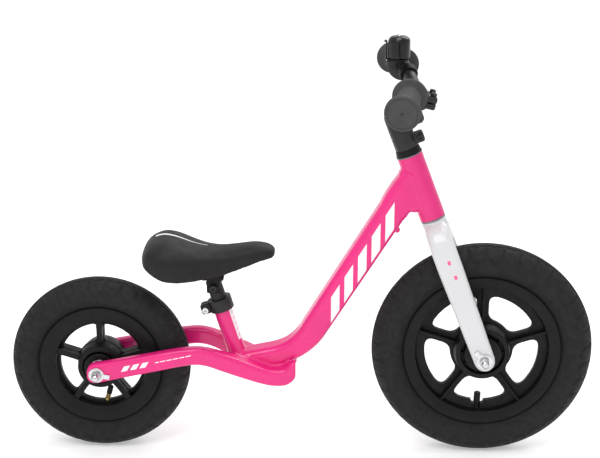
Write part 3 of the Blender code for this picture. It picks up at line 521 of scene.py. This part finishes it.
# Stations of a stay: place in X, height of its middle, half height, inner and outer Y
STAY_STATIONS = [
    (-0.3015, 0.1285, 0.0060, 0.0335, 0.0495), (-0.2990, 0.1286, 0.0110, 0.0330, 0.0500),
    (-0.2925, 0.1290, 0.0145, 0.0330, 0.0500), (-0.2800, 0.1310, 0.0148, 0.0330, 0.0500),
    (-0.2500, 0.1375, 0.0142, 0.0330, 0.0500), (-0.2050, 0.1470, 0.0138, 0.0328, 0.0500),
    (-0.1700, 0.1540, 0.0132, 0.0318, 0.0492), (-0.1480, 0.1563, 0.0128, 0.0300, 0.0480),
    (-0.1300, 0.1535, 0.0130, 0.0275, 0.0462), (-0.1100, 0.1460, 0.0135, 0.0235, 0.0445),
    (-0.0850, 0.1362, 0.0133, 0.0178, 0.0425), (-0.0600, 0.1265, 0.0125, 0.0170, 0.0408),
    (-0.0400, 0.1208, 0.0120, 0.0170, 0.0392), (-0.0220, 0.1215, 0.0132, 0.0170, 0.0378),
    (-0.0110, 0.1285, 0.0150, 0.0175, 0.0365), (-0.0055, 0.1325, 0.0120, 0.0205, 0.0345),
]


def stay(side):
    rings = [[(x, side * ((inner + outer) / 2 + v), z + u)
              for u, v in rounded_box(half_height, (outer - inner) / 2, 0.0055, 5)]
             for x, z, half_height, inner, outer in in_between(STAY_STATIONS, 5)]
    return loft(f"stay_skin_{side}", rings)


BEAD_PITCH, BEAD_R = 0.0026, 0.0019


def weld_bead(name, corners):
    """A row of small overlapping blobs along a closed or open line, as a welder's torch leaves them."""
    lengths = [(b - a).length for a, b in zip(corners, corners[1:])]
    count = int(sum(lengths) / BEAD_PITCH)
    bm = bmesh.new()
    for index in range(count):
        rest = (index + 0.5) / count * sum(lengths)
        run = 0
        while rest > lengths[run]:
            rest -= lengths[run]
            run += 1
        spot = corners[run].lerp(corners[run + 1], rest / lengths[run])
        bmesh.ops.create_icosphere(bm, subdivisions=2, radius=BEAD_R, matrix=Matrix.Translation(spot))
    mesh = bpy.data.meshes.new(name)
    bm.to_mesh(mesh)
    bm.free()
    return add_object(name, mesh)


def frame_welds():
    """Beads where the head tube, the seat tube and the stays meet the down tube."""
    beads = []
    outline = rounded_box(0.0318, 0.0168, 0.010, 6)
    outline.append(outline[0])
    beads.append(weld_bead("bead_head", [STEER @ Vector((-sqrt(HEAD_R ** 2 - v ** 2), v, 0.2586 + u))
                                         for u, v in outline]))
    floor_normal = Vector((-sin(FOOT_ANGLE), 0, cos(FOOT_ANGLE)))
    ring = []
    for step in range(37):
        angle = 2 * pi * step / 36
        spot = SEAT @ Vector((SEAT_TUBE_R * cos(angle), SEAT_TUBE_R * sin(angle), 0))
        rise = 0.0155 - (spot - FOOT_END).dot(floor_normal)
        ring.append(spot + SEAT.col[2].xyz * rise / SEAT.col[2].xyz.dot(floor_normal))
    beads.append(weld_bead("bead_seat", ring))
    for side in (-1, 1):
        line = [Vector((x, side * 0.0183, z + half_height - 0.0012))
                for x, z, half_height, inner, outer in in_between(STAY_STATIONS, 3) if -0.100 < x < -0.012]
        beads.append(weld_bead(f"bead_stay_{side}", line))
    return beads


def axle_hole(axle, radius=0.0052):
    return rod("cut_axle", radius, -0.09, 0.09, Matrix.Translation(axle) @ ACROSS, 32)


def frame_skin():
    head = rod("head_skin", HEAD_R, HEAD_LOW - 0.004, HEAD_HIGH + 0.004, STEER)
    seat_foot = rod("seat_skin", SEAT_TUBE_R, -0.0920, 0.004, SEAT)
    boss = rod("boss_skin", 0.0042, -0.0060, 0.0060, Matrix.Translation((0.1354, 0.0, 0.3343)) @ ACROSS, 24)
    pieces = [down_tube(), head, seat_foot, boss, stay(-1), stay(1)] + frame_welds()
    skin = skinned(merged("frame_skin", pieces), SKIN_VOXEL, 8)
    for name, low, high, radius, axis in (
            ("cut_head_bore", 0.15, 0.35, 0.0155, STEER), ("cut_head_low", 0.15, HEAD_LOW, 0.024, STEER),
            ("cut_head_high", HEAD_HIGH, 0.35, 0.024, STEER), ("cut_seat_bore", -0.0800, 0.03, 0.0114, SEAT),
            ("cut_seat_high", -0.0007, 0.03, 0.018, SEAT)):
        combine(skin, rod(name, radius, low, high, axis))
    combine(skin, axle_hole(REAR_AXLE))
    return place(smooth(skin, 50.0), "frame", FRAME_PAINT,
                 ["down_tube", "head_tube", "seat_tube", "chainstay_right", "chainstay_left"])


# Fork

LEG_Y, LEG_HALF_T = 0.0415, 0.0085
SHOULDER_LOW, CROWN_Y = 0.150, 0.014
CROWN_LOW, CROWN_HIGH, CROWN_R = 0.1720, HEAD_LOW - 0.0031, 0.0176
# Height along the leg from the axle, and half the leg's width seen from the side
LEG_STATIONS = [(-0.0160, 0.0045), (-0.0145, 0.0090), (-0.0105, 0.0125), (-0.0040, 0.0147),
                (0.0040, 0.0150), (0.0700, 0.0160), (0.1300, 0.0172)]


def fork_leg(side):
    """Rows of Y, height, angle of the outward direction, half width, half thickness and corner radius."""
    rows = [(LEG_Y, along, 0.0, half_width, LEG_HALF_T, 0.0068) for along, half_width in LEG_STATIONS]
    rise, reach = (CROWN_LOW + CROWN_HIGH) / 2 - SHOULDER_LOW, LEG_Y - CROWN_Y
    for step in range(9):
        share = step / 8
        angle = share * pi / 2
        rows.append((CROWN_Y + reach * cos(angle), SHOULDER_LOW + rise * sin(angle), angle, 0.0174,
                     LEG_HALF_T + (0.0160 - LEG_HALF_T) * share ** 2, 0.0068 + 0.006 * share))
    rings = [[(u, side * (y + v * cos(angle)), along + v * sin(angle))
              for u, v in rounded_box(half_u, half_t, radius, 6)]
             for y, along, angle, half_u, half_t, radius in in_between(rows, 4)]
    return loft(f"fork_leg_skin_{side}", rings, STEER)


def fork_skin():
    crown = rod("crown_skin", CROWN_R, CROWN_LOW, CROWN_HIGH + 0.004, STEER)
    skin = skinned(merged("fork_skin", [crown, fork_leg(-1), fork_leg(1)]), SKIN_VOXEL, 5)
    combine(skin, rod("cut_crown_high", 0.05, CROWN_HIGH, 0.23, STEER))
    combine(skin, rod("cut_steerer", 0.0114, 0.15, 0.23, STEER))
    combine(skin, axle_hole(FRONT_AXLE))
    return place(smooth(skin, 50.0), "steering", FORK_PAINT,
                 ["fork_crown", "fork_leg_right", "fork_leg_left"])


# Wheels

TREAD_DEPTH = 0.0018
TREAD_STEPS = 16                               # steps round the tyre for each tread block
BLOCK_EDGE, BLOCK_WAVE = radians(55.0), radians(17.0)


def smoothstep(value, low, high):
    share = min(1.0, max(0.0, (value - low) / (high - low)))
    return share * share * (3 - 2 * share)


def tread_cut(angle, turn, pitch):
    """Depth below the crown of the tread at a section angle, after a number of blocks round the tyre."""
    side_turn = turn + (0.5 if angle < 0 else 0.0)
    wave = abs(sin(pi * side_turn))
    across = abs(angle)
    edge = BLOCK_EDGE + BLOCK_WAVE * wave
    wall = smoothstep(across, edge - radians(1.5), edge + radians(1.5))
    from_sipe = abs((side_turn + 0.5) % 1.0 - 0.5) * pitch
    sipe = (1 - smoothstep(from_sipe, 0.0010, 0.0026)) * smoothstep(across, radians(24), radians(28))
    zigzag = radians(13) + radians(5) * abs(2 * (turn % 1.0) - 1)
    groove = 1 - smoothstep(abs(across - zigzag), radians(1.8), radians(4.2))
    return TREAD_DEPTH * max(wall, sipe, groove)


def tyre(which, axle, radius, bead_line, half_width, blocks):
    flange = 0.0174
    end = pi - atan2(flange / half_width, sqrt(1 - (flange / half_width) ** 2))
    half_height = (radius - bead_line) / (1 - cos(end))
    centre = radius - half_height
    outer_steps, count = 60, blocks * TREAD_STEPS
    pitch = 2 * pi * radius / blocks
    bead_low = bead_line - 0.0125
    right = [(bead_line, -0.0142), (bead_line - 0.003, -0.0136), (bead_low, -0.0116), (bead_low, -0.0085)]
    inside = [(centre + (half_height - 0.0042) * cos(a), (half_width - 0.0042) * sin(a))
              for a in (-(pi - 0.60) * (1 - step / 4) for step in range(9))]
    hidden = right + inside + [(r, -side) for r, side in reversed(right)]
    rings = []
    for index in range(count):
        turn = index / TREAD_STEPS
        section = []
        for step in range(outer_steps + 1):
            angle = end * (1 - 2 * step / outer_steps)
            cut = tread_cut(angle, turn, pitch)
            ridge = 0.0004 * (abs(abs(angle) - radians(112)) < radians(2.5))
            lift = ridge - cut
            section.append((centre + (half_height + lift) * cos(angle), (half_width + lift) * sin(angle)))
        way = 2 * pi * index / count
        rings.append([(r * cos(way), r * sin(way), side) for r, side in section + hidden])
    size = len(rings[0])
    faces = [(k * size + i, k * size + (i + 1) % size, (k + 1) % count * size + (i + 1) % size,
              (k + 1) % count * size + i) for k in range(count) for i in range(size)]
    mesh = bpy.data.meshes.new(which + "_tyre_tread")
    mesh.from_pydata([point for ring in rings for point in ring], [], faces)
    made = face_out(add_object(which + "_tyre_tread", mesh, Matrix.Translation(axle) @ ACROSS))
    return place(smooth(made, 42.0), which + "_wheel", TYRE_RUBBER, [which + "_tyre"])


HUB_HALF, WHEEL_BEARING_R, WHEEL_BEARING_H, HUB_BORE_R = 0.027, 0.013, 0.008, 0.009
FRONT_SPEC = {"barrel": 0.0960, "ring": 0.0370, "core": 0.0260, "window_in": 0.0450, "window_out": 0.0812,
              "spoke_half": 0.0085, "corner": 0.0120, "rib_half": 0.0014, "ribs_in_hub": 10}
REAR_SPEC = {"barrel": 0.0665, "ring": 0.0300, "core": 0.0220, "window_in": 0.0345, "window_out": 0.0600,
             "spoke_half": 0.0050, "corner": 0.0062, "rib_half": 0.0044, "ribs_in_hub": 10}


def rim_profile(bead_line, barrel, ring_r, core_r):
    """Half of the wheel's section: hub, web, barrel wall and rim flange, then its mirror image."""
    half = [(bead_line, 0.0155), (bead_line - 0.0015, 0.0173), (bead_line - 0.008, 0.0175),
            (barrel - 0.001, 0.0140), (barrel - 0.003, 0.0040), (ring_r + 0.004, 0.0045),
            (ring_r + 0.001, 0.0240), (ring_r - 0.006, 0.0240), (ring_r - 0.006, 0.0150), (core_r, 0.0150),
            (core_r, HUB_HALF), (WHEEL_BEARING_R + 0.0003, HUB_HALF),
            (WHEEL_BEARING_R + 0.0003, HUB_HALF - WHEEL_BEARING_H - 0.0006),
            (HUB_BORE_R, HUB_HALF - WHEEL_BEARING_H - 0.0006)]
    well = [(barrel + 0.0035, 0.0120), (bead_line - 0.002, 0.0146)]
    mirrored = [(r, -side) for r, side in half]
    outline = ([(barrel + 0.0030, 0.0)] + [(r, -side) for r, side in well] + mirrored + half[::-1]
               + well[::-1])
    return rounded(outline, 0.0010)


def window_outline(spec, grow, middle):
    """Straight sides along two spokes and arcs at the hub and the rim, with round corners."""
    corner, arcs = spec["corner"], []
    for radius, order, steps in ((spec["window_in"] - grow, 1, 4), (spec["window_out"] + grow, -1, 12)):
        reach = pi / 5 - (spec["spoke_half"] - grow) / radius
        inner = reach - min(corner / radius, 0.8 * reach)
        spans = [-reach] + [inner * (2 * step / steps - 1) for step in range(steps + 1)] + [reach]
        arcs.append([radius * Vector((cos(middle + order * span), sin(middle + order * span)))
                     for span in spans])
    outline = []
    for arc, other in (arcs, arcs[::-1]):
        first, last = arc[0], arc[-1]
        start = first + (other[-1] - first).normalized() * corner
        end = last + (other[0] - last).normalized() * corner
        outline += [start.lerp(first, t / 5).lerp(first.lerp(arc[1], t / 5), t / 5) for t in range(5)]
        outline += arc[1:-1]
        outline += [arc[-2].lerp(last, t / 5).lerp(last.lerp(end, t / 5), t / 5) for t in range(1, 6)]
    return [tuple(point) for point in outline]


def window_cutter(spec, index, matrix):
    """A plug for one opening, flared where it leaves the web so that the web's edges come out chamfered."""
    web, flare = 0.0042, 0.0009
    middle = 2 * pi * (index + 0.5) / 5 - pi / 2
    rings = []
    for height, grow in ((-0.05, flare), (-web, flare), (-web + flare, 0.0), (web - flare, 0.0),
                         (web, flare), (0.05, flare)):
        rings.append([(x, y, height) for x, y in window_outline(spec, grow, middle)])
    return loft(f"cut_window_{index}", rings, matrix)


def radial_ribs(name, count, inner, outer, half_t, half_y, matrix, phase=0.0):
    bm = bmesh.new()
    for index in range(count):
        turn = Matrix.Rotation(2 * pi * (index + phase) / count - pi / 2, 4, "Z")
        middle = turn @ Matrix.Translation(((inner + outer) / 2, 0, 0))
        bmesh.ops.create_cube(bm, size=1.0, matrix=middle @ Matrix.Diagonal(
            (outer - inner, 2 * half_t, 2 * half_y, 1)))
    bmesh.ops.bevel(bm, geom=bm.edges[:], offset=0.0004, segments=1, affect="EDGES")
    mesh = bpy.data.meshes.new(name)
    bm.to_mesh(mesh)
    bm.free()
    return face_out(add_object(name, mesh, matrix))


NOTCH_IN, NOTCH_OUT, NOTCH_HALF_W = 0.0740, 0.0860, 0.0090     # the recess round the front valve


def rim(which, axle, bead_line, spec, valve_angle, valve_hole_r, notch):
    at = Matrix.Translation(axle) @ ACROSS
    made = turned(which + "_wheel_moulding",
                  rim_profile(bead_line, spec["barrel"], spec["ring"], spec["core"]), at, 120)
    toward_hub = Matrix.Translation(axle) @ Matrix.Rotation(valve_angle, 4, "Y")
    combine(made, rod("cut_valve", valve_hole_r, -bead_line, -notch, toward_hub, 32))
    combine(made, radial_ribs("join_spokes", 5, spec["ring"] - 0.001, spec["barrel"] + 0.001,
                              spec["rib_half"], 0.0125, at), "UNION")
    combine(made, radial_ribs("join_hub_ribs", spec["ribs_in_hub"], spec["core"] - 0.001,
                              spec["ring"] - 0.005, 0.0007, 0.0205, at, 0.5), "UNION")
    for index in range(5):
        combine(made, window_cutter(spec, index, at))
    if which == "front":
        outline = [(x, -(NOTCH_IN + NOTCH_OUT) / 2 + u) for u, x in
                   rounded_box((NOTCH_OUT - NOTCH_IN) / 2, NOTCH_HALF_W, 0.0040, 4)]
        rings = [[(x, side, z) for x, z in outline] for side in (-0.010, 0.010)]
        combine(made, loft("cut_notch", rings, toward_hub))
    return place(smooth(made), which + "_wheel", BLACK_PLASTIC, [which + "_rim"])


# Saddle

STRIPE_FRONT, STRIPE_BACK_RUN, STRIPE_Y = -0.1310, 0.0730, 0.0070
# Place in X, height of the crown, height of the underside, half width
PAD_STATIONS = [(-0.2212, 0.2980, 0.2905, 0.0200), (-0.2190, 0.3060, 0.2860, 0.0340),
                (-0.2135, 0.3130, 0.2825, 0.0450), (-0.2040, 0.3188, 0.2780, 0.0525),
                (-0.1900, 0.3220, 0.2740, 0.0575), (-0.1720, 0.3180, 0.2722, 0.0580),
                (-0.1520, 0.3105, 0.2722, 0.0520), (-0.1330, 0.3060, 0.2726, 0.0425),
                (-0.1120, 0.3052, 0.2745, 0.0330), (-0.0880, 0.3085, 0.2815, 0.0265),
                (-0.0640, 0.3120, 0.2900, 0.0240), (-0.0480, 0.3110, 0.2928, 0.0208),
                (-0.0395, 0.3078, 0.2940, 0.0158), (-0.0352, 0.3040, 0.2968, 0.0098)]


def inflated(obj, pressure, cap):
    """Lets a cloth simulation swell the skin, moving no point further than the cap."""
    start = [vertex.co.copy() for vertex in obj.data.vertices]
    cloth = obj.modifiers.new("cloth", "CLOTH")
    cloth.settings.use_pressure = True
    cloth.settings.uniform_pressure_force = pressure
    cloth.settings.effector_weights.gravity = 0.0
    scene = bpy.context.scene
    for step in range(1, 21):
        scene.frame_set(step)
    applied(obj)
    scene.frame_set(1)
    for vertex, home in zip(obj.data.vertices, start):
        move = vertex.co - home
        if move.length > cap:
            vertex.co = home + move * cap / move.length
    return obj


LIP_SHARE, LIP_DROP = 0.78, 0.0035      # where the hanging edge that hides the pan starts, and its drop
CROWN_POWER, COVER_SHRINK = 0.75, 0.0003


def cover_ring(x, top, low, half):
    """A section of the cover: a soft crown, full sides, and a lip round the recess that holds the pan."""
    middle, count = low + 0.42 * (top - low), 24
    top, half = top - COVER_SHRINK, half - COVER_SHRINK
    points = []
    for step in range(count + 1):
        c, t = cos(pi * step / count), sin(pi * step / count)
        points.append((x, half * abs(c) ** CROWN_POWER * (1 if c >= 0 else -1),
                       middle + (top - middle) * t ** CROWN_POWER))
    edge = low - LIP_DROP * smoothstep(x, -0.215, -0.185) * (1 - smoothstep(x, -0.075, -0.045))
    side = ((0.90, 0.0), (0.955, 0.15), (0.99, 0.55))      # shares of the half width and the side's height
    points += [(x, -half * share, edge + (middle - edge) * height) for share, height in reversed(side)]
    points += [(x, -half * LIP_SHARE, edge), (x, -half * LIP_SHARE, low + 0.0004),
               (x, half * LIP_SHARE, low + 0.0004), (x, half * LIP_SHARE, edge)]
    return points + [(x, half * share, edge + (middle - edge) * height) for share, height in side]


def saddle_cover():
    """The padded top: an evenly meshed loft, swollen a little by cloth pressure, then softened."""
    pad = loft("saddle_cover", [cover_ring(*row) for row in in_between(PAD_STATIONS, 4)])
    skinned(pad, 0.0024, 2)
    inflated(pad, 2.0, 0.0005)
    soften = pad.modifiers.new("soften", "SMOOTH")
    soften.factor = 0.5
    soften.iterations = 4
    applied(pad)
    place(smooth(pad, 60.0), "saddle", VINYL, ["saddle_pad"])
    return pad


# Bars and grips

BAR_CENTRE = STEER @ Vector((0.0379, 0, 0.3764))
GRIP_ROOT = Vector((0.1450, 0.0925, 0.5475))   # where the grip's straight run starts
GRIP_WAY = Vector((-0.0148, 0.0890, -0.0055)).normalized()
GRIP_START, GRIP_END, GRIP_R, FLANGE_R, BAR_R = 0.102, 0.183, 0.0155, 0.0230, 0.0095
BAR_TIP = (0.1790 - GRIP_ROOT.y) / GRIP_WAY.y
BEND_Y, BEND_R = 0.027, 0.040
END_CHAMFER = 0.0021                           # keeps the grip's end inside the CAD box


def mirrored_y(point):
    return Vector((point.x, -point.y, point.z))


def filleted(points, radius, steps):
    """The points of a path of straight runs, with each inner corner rounded by an arc."""
    path = [points[0]]
    for before, corner, after in zip(points, points[1:], points[2:]):
        to_before, to_after = (before - corner).normalized(), (after - corner).normalized()
        half = to_before.angle(to_after) / 2
        middle = corner + (to_before + to_after).normalized() * radius / sin(half)
        start = corner + to_before * radius / tan(half) - middle
        end = corner + to_after * radius / tan(half) - middle
        path += [middle + start.slerp(end, step / steps).normalized() * radius for step in range(steps + 1)]
    return path + [points[-1]]


def handlebar():
    left = [GRIP_ROOT + GRIP_WAY * BAR_TIP, GRIP_ROOT, Vector((BAR_CENTRE.x, BEND_Y, BAR_CENTRE.z))]
    path = filleted(left + [mirrored_y(point) for point in reversed(left)], BEND_R, 16)
    curve = bpy.data.curves.new("riser_bar", "CURVE")
    curve.dimensions = "3D"
    curve.bevel_depth = BAR_R
    curve.bevel_resolution = 8
    curve.use_fill_caps = True
    spline = curve.splines.new("POLY")
    spline.points.add(len(path) - 1)
    for spot, point in zip(spline.points, path):
        spot.co = (*point, 1.0)
    guide = bpy.data.objects.new("riser_bar", curve)
    bpy.context.scene.collection.objects.link(guide)
    graph = bpy.context.evaluated_depsgraph_get()
    mesh = bpy.data.meshes.new_from_object(guide.evaluated_get(graph), depsgraph=graph)
    bpy.data.objects.remove(guide)
    made = with_bmesh(add_object("riser_bar", mesh),
                      lambda bm: bmesh.ops.remove_doubles(bm, verts=bm.verts, dist=0.00001))
    return place(smooth(made), "steering", BLACK_ALLOY, ["handlebar"])


def aim(origin, direction):
    """A frame at a point, with local Z along a direction and local X as near forward as it can be."""
    z_axis = Vector(direction).normalized()
    y_axis = z_axis.cross((1, 0, 0)).normalized()
    turn = Matrix((y_axis.cross(z_axis), y_axis, z_axis)).transposed().to_4x4()
    return Matrix.Translation(origin) @ turn


def grip(word, side):
    """A rubber grip: two flanges, a body with shallow rings, and a flat end with a groove and a vent."""
    root, way = (GRIP_ROOT, GRIP_WAY) if side > 0 else (mirrored_y(GRIP_ROOT), mirrored_y(GRIP_WAY))
    start, end = (GRIP_START - GRIP_ROOT.y) / GRIP_WAY.y, (GRIP_END - GRIP_ROOT.y) / GRIP_WAY.y
    bore = BAR_R + 0.0003
    vent, groove_in, groove_out = 0.0014, FLANGE_R - 0.0046, FLANGE_R - 0.0036
    profile = [(0.0, end - 0.0015), (vent, end - 0.0015), (vent, end), (groove_in, end),
               (groove_in, end - 0.0006), (groove_out, end - 0.0006), (groove_out, end),
               (FLANGE_R - END_CHAMFER, end), (FLANGE_R, end - END_CHAMFER),
               (FLANGE_R, end - 0.0070), (GRIP_R, end - 0.0088)]
    rings = 16
    body_low, body_high = start + 0.0075, end - 0.0100
    for ring in range(rings):
        low = body_high - (ring + 1) * (body_high - body_low) / rings
        profile += [(GRIP_R, low + 0.0016), (GRIP_R - 0.0004, low + 0.0012), (GRIP_R - 0.0004, low + 0.0004),
                    (GRIP_R, low)]
    profile += [(GRIP_R, start + 0.0060), (FLANGE_R, start + 0.0045), (FLANGE_R, start + 0.0006),
                (FLANGE_R - 0.0010, start), (bore, start), (bore, BAR_TIP + 0.0006), (0.0, BAR_TIP + 0.0006)]
    made = turned(f"grip_sleeve_{word}", rounded(profile, 0.0012, closed=False), aim(root, way), 72,
                  closed=False)
    return place(made, "steering", GRIP_RUBBER, [f"grip_{word}"])


BELL_SHARE, BELL_X, BELL_R = 0.725, 0.1358, 0.0155
BELL_RIM, BELL_TOP, BELL_WALL = 0.5625, 0.5930, 0.0012


def bell_dome():
    """A spun metal cap: flat top with a rolled edge, straight side, open below."""
    on_bar = Vector((BAR_CENTRE.x, BEND_Y, BAR_CENTRE.z)).lerp(GRIP_ROOT, BELL_SHARE)
    profile = [(0.0021, BELL_TOP), (0.0070, BELL_TOP - 0.0002), (0.0112, BELL_TOP - 0.0012),
               (0.0142, BELL_TOP - 0.0036), (BELL_R, BELL_TOP - 0.0072), (BELL_R, BELL_RIM + 0.0006),
               (BELL_R - 0.0004, BELL_RIM), (BELL_R - BELL_WALL, BELL_RIM),
               (BELL_R - BELL_WALL, BELL_TOP - 0.0078),
               (0.0103, BELL_TOP - 0.0024), (0.0021, BELL_TOP - 0.0013)]
    made = turned("bell_cap", rounded(profile, 0.0006), Matrix.Translation((BELL_X, on_bar.y, 0)), 96)
    return place(smooth(made, 50.0), "steering", BELL_METAL, ["bell_dome"])


# Valves and headset

def rear_valve():
    """A threaded brass stem that the black cap screws onto."""
    bend_at, bend, angle = 0.0580, radians(22), radians(-6)
    toward_hub = Matrix.Translation(REAR_AXLE) @ Matrix.Rotation(angle, 4, "Y")
    bent = toward_hub @ Matrix.Translation((0, 0, -bend_at)) @ Matrix.Rotation(bend, 4, "Y")
    profile = [(0.0, 0.0064), (0.0033, 0.0064)]
    for thread in range(7):
        height = 0.0060 - thread * 0.0009
        profile += [(0.0035, height), (0.0031, height - 0.00045)]
    profile += [(0.0040, -0.0004), (0.0042, -0.0020), (0.0036, -0.0060), (0.0, -0.0060)]
    made = turned("rear_valve_stem", profile, bent, 32, closed=False)
    return place(made, "rear_wheel", BRASS)


def cover_line():
    """The thin bright lip between the head tube and the top cover."""
    profile = [(0.0187, HEAD_HIGH + 0.0016), (0.0187, HEAD_HIGH + 0.0004), (0.0150, HEAD_HIGH + 0.0004),
               (0.0150, HEAD_HIGH + 0.0016)]
    made = turned("headset_lip", rounded(profile, 0.0003), STEER, 64)
    return place(made, "steering", GREY_ALLOY)


# CAD nodes whose shape is right: a copy with softened edges and smooth shading stands for each

def refined(node, finish, bevel=0.0003):
    mesh = NODES[node].data.copy()
    piece = add_object(node + "_fine", mesh)

    def clean(bm):
        bmesh.ops.remove_doubles(bm, verts=bm.verts, dist=0.000002)
        bmesh.ops.dissolve_limit(bm, angle_limit=radians(1.0), verts=bm.verts, edges=bm.edges)

    with_bmesh(piece, clean)
    edges = piece.modifiers.new("edges", "BEVEL")
    edges.width = bevel
    edges.segments = 2
    edges.limit_method = "ANGLE"
    edges.angle_limit = radians(40.0)
    applied(piece)
    return place(smooth(piece), BODY_OF[node], finish, [node])


# Build

FRAME_PAINT, FORK_PAINT = frame_paint(), fork_paint()
TYRE_RUBBER, GRIP_RUBBER = tyre_rubber(), grip_rubber()
BLACK_PLASTIC, BLACK_ALLOY, GREY_ALLOY = black_plastic(), black_alloy(), grey_alloy()
BELL_METAL, VINYL, ZINC_STEEL, BRASS = bell_metal(), vinyl(), zinc_steel(), brass()

frame_skin()
fork_skin()
tyre("front", FRONT_AXLE, 0.1570, 0.1129, 0.0270, 38)
tyre("rear", REAR_AXLE, 0.1290, 0.0894, 0.0260, 32)
rim("front", FRONT_AXLE, 0.1125, FRONT_SPEC, radians(2), 0.0060, 0.0770)
rim("rear", REAR_AXLE, 0.0890, REAR_SPEC, radians(-6), 0.0045, 0.0555)
saddle_cover()
handlebar()
grip("right", -1)
grip("left", 1)
bell_dome()
rear_valve()
cover_line()

PLAIN_NODES = {
    ("zinc_steel", ZINC_STEEL): [
        "seat_collar_bolt", "bell_screw", "bell_lever_pin", "fork_steerer", "headset_bearing_lower",
        "headset_bearing_upper"],
    ("black_alloy", BLACK_ALLOY): [
        "stem_body", "stem_cap", "seat_collar", "seat_post", "stem_bolt", "bar_bolt_right", "bar_bolt_left",
        "stem_cap_bolt", "saddle_bolt"],
    ("black_plastic", BLACK_PLASTIC): [
        "headset_top_cover", "bell_clamp", "bell_lever", "saddle_bracket", "saddle_base", "front_valve_cap",
        "rear_valve_cap"],
    ("grey_alloy", GREY_ALLOY): ["headset_crown_race"],
    ("tyre_rubber", TYRE_RUBBER): ["front_inner_tube", "rear_inner_tube"],
}
for end in ("front", "rear"):
    PLAIN_NODES["zinc_steel", ZINC_STEEL].append(end + "_axle")
    for word in ("right", "left"):
        PLAIN_NODES["zinc_steel", ZINC_STEEL] += [f"{end}_{kind}_{word}"
                                                  for kind in ("spacer", "washer", "nut", "bearing")]
for (slot, finish), nodes in PLAIN_NODES.items():
    for node in nodes:
        refined(node, finish)


# Stage

def add_stage():
    """A plain pale floor, an even pale surround, three soft lights and the camera."""
    mesh = bpy.data.meshes.new("floor")
    half = 30.0
    corners = [(-half, -half, 0), (half, -half, 0), (half, half, 0), (-half, half, 0)]
    mesh.from_pydata(corners, [], [(0, 1, 2, 3)])
    floor = add_object("floor", mesh)
    pale = Finish("pale_floor", 0.8)
    pale.color((0.84, 0.84, 0.84, 1.0))
    mesh.materials.append(pale.material)
    pale.shader.inputs["Emission Color"].default_value = (1.0, 1.0, 1.0, 1.0)
    pale.shader.inputs["Emission Strength"].default_value = 0.32
    world = bpy.data.worlds.new("studio")
    world.use_nodes = True
    world.node_tree.nodes["Background"].inputs["Color"].default_value = (1.0, 1.0, 1.0, 1.0)
    world.node_tree.nodes["Background"].inputs["Strength"].default_value = 0.80
    bpy.context.scene.world = world
    for name, where, size, energy in (("key", (-0.5, -1.5, 2.3), 1.1, 23.0),
                                      ("back", (0.9, 1.4, 1.8), 1.2, 12.0),
                                      ("overhead", (0.1, 0.0, 2.2), 0.7, 8.0)):
        light = bpy.data.lights.new(name, "AREA")
        light.size = size
        light.energy = energy
        lamp = bpy.data.objects.new(name, light)
        lamp.location = where
        lamp.rotation_euler = (Vector((0, 0, 0.25)) - Vector(where)).to_track_quat("-Z", "Y").to_euler()
        bpy.context.scene.collection.objects.link(lamp)
    lens = bpy.data.cameras.new("camera")
    lens.sensor_width = 36.0
    lens.lens = 81.53
    camera = bpy.data.objects.new("camera", lens)
    camera.location = (0.0528, -1.8052, 0.9271)
    aim_at = Vector((-0.0002, 0.0, 0.3333))
    camera.rotation_euler = (aim_at - camera.location).to_track_quat("-Z", "Y").to_euler()
    bpy.context.scene.collection.objects.link(camera)
    bpy.context.scene.camera = camera
    bpy.context.scene.view_settings.view_transform = "Standard"


add_stage()
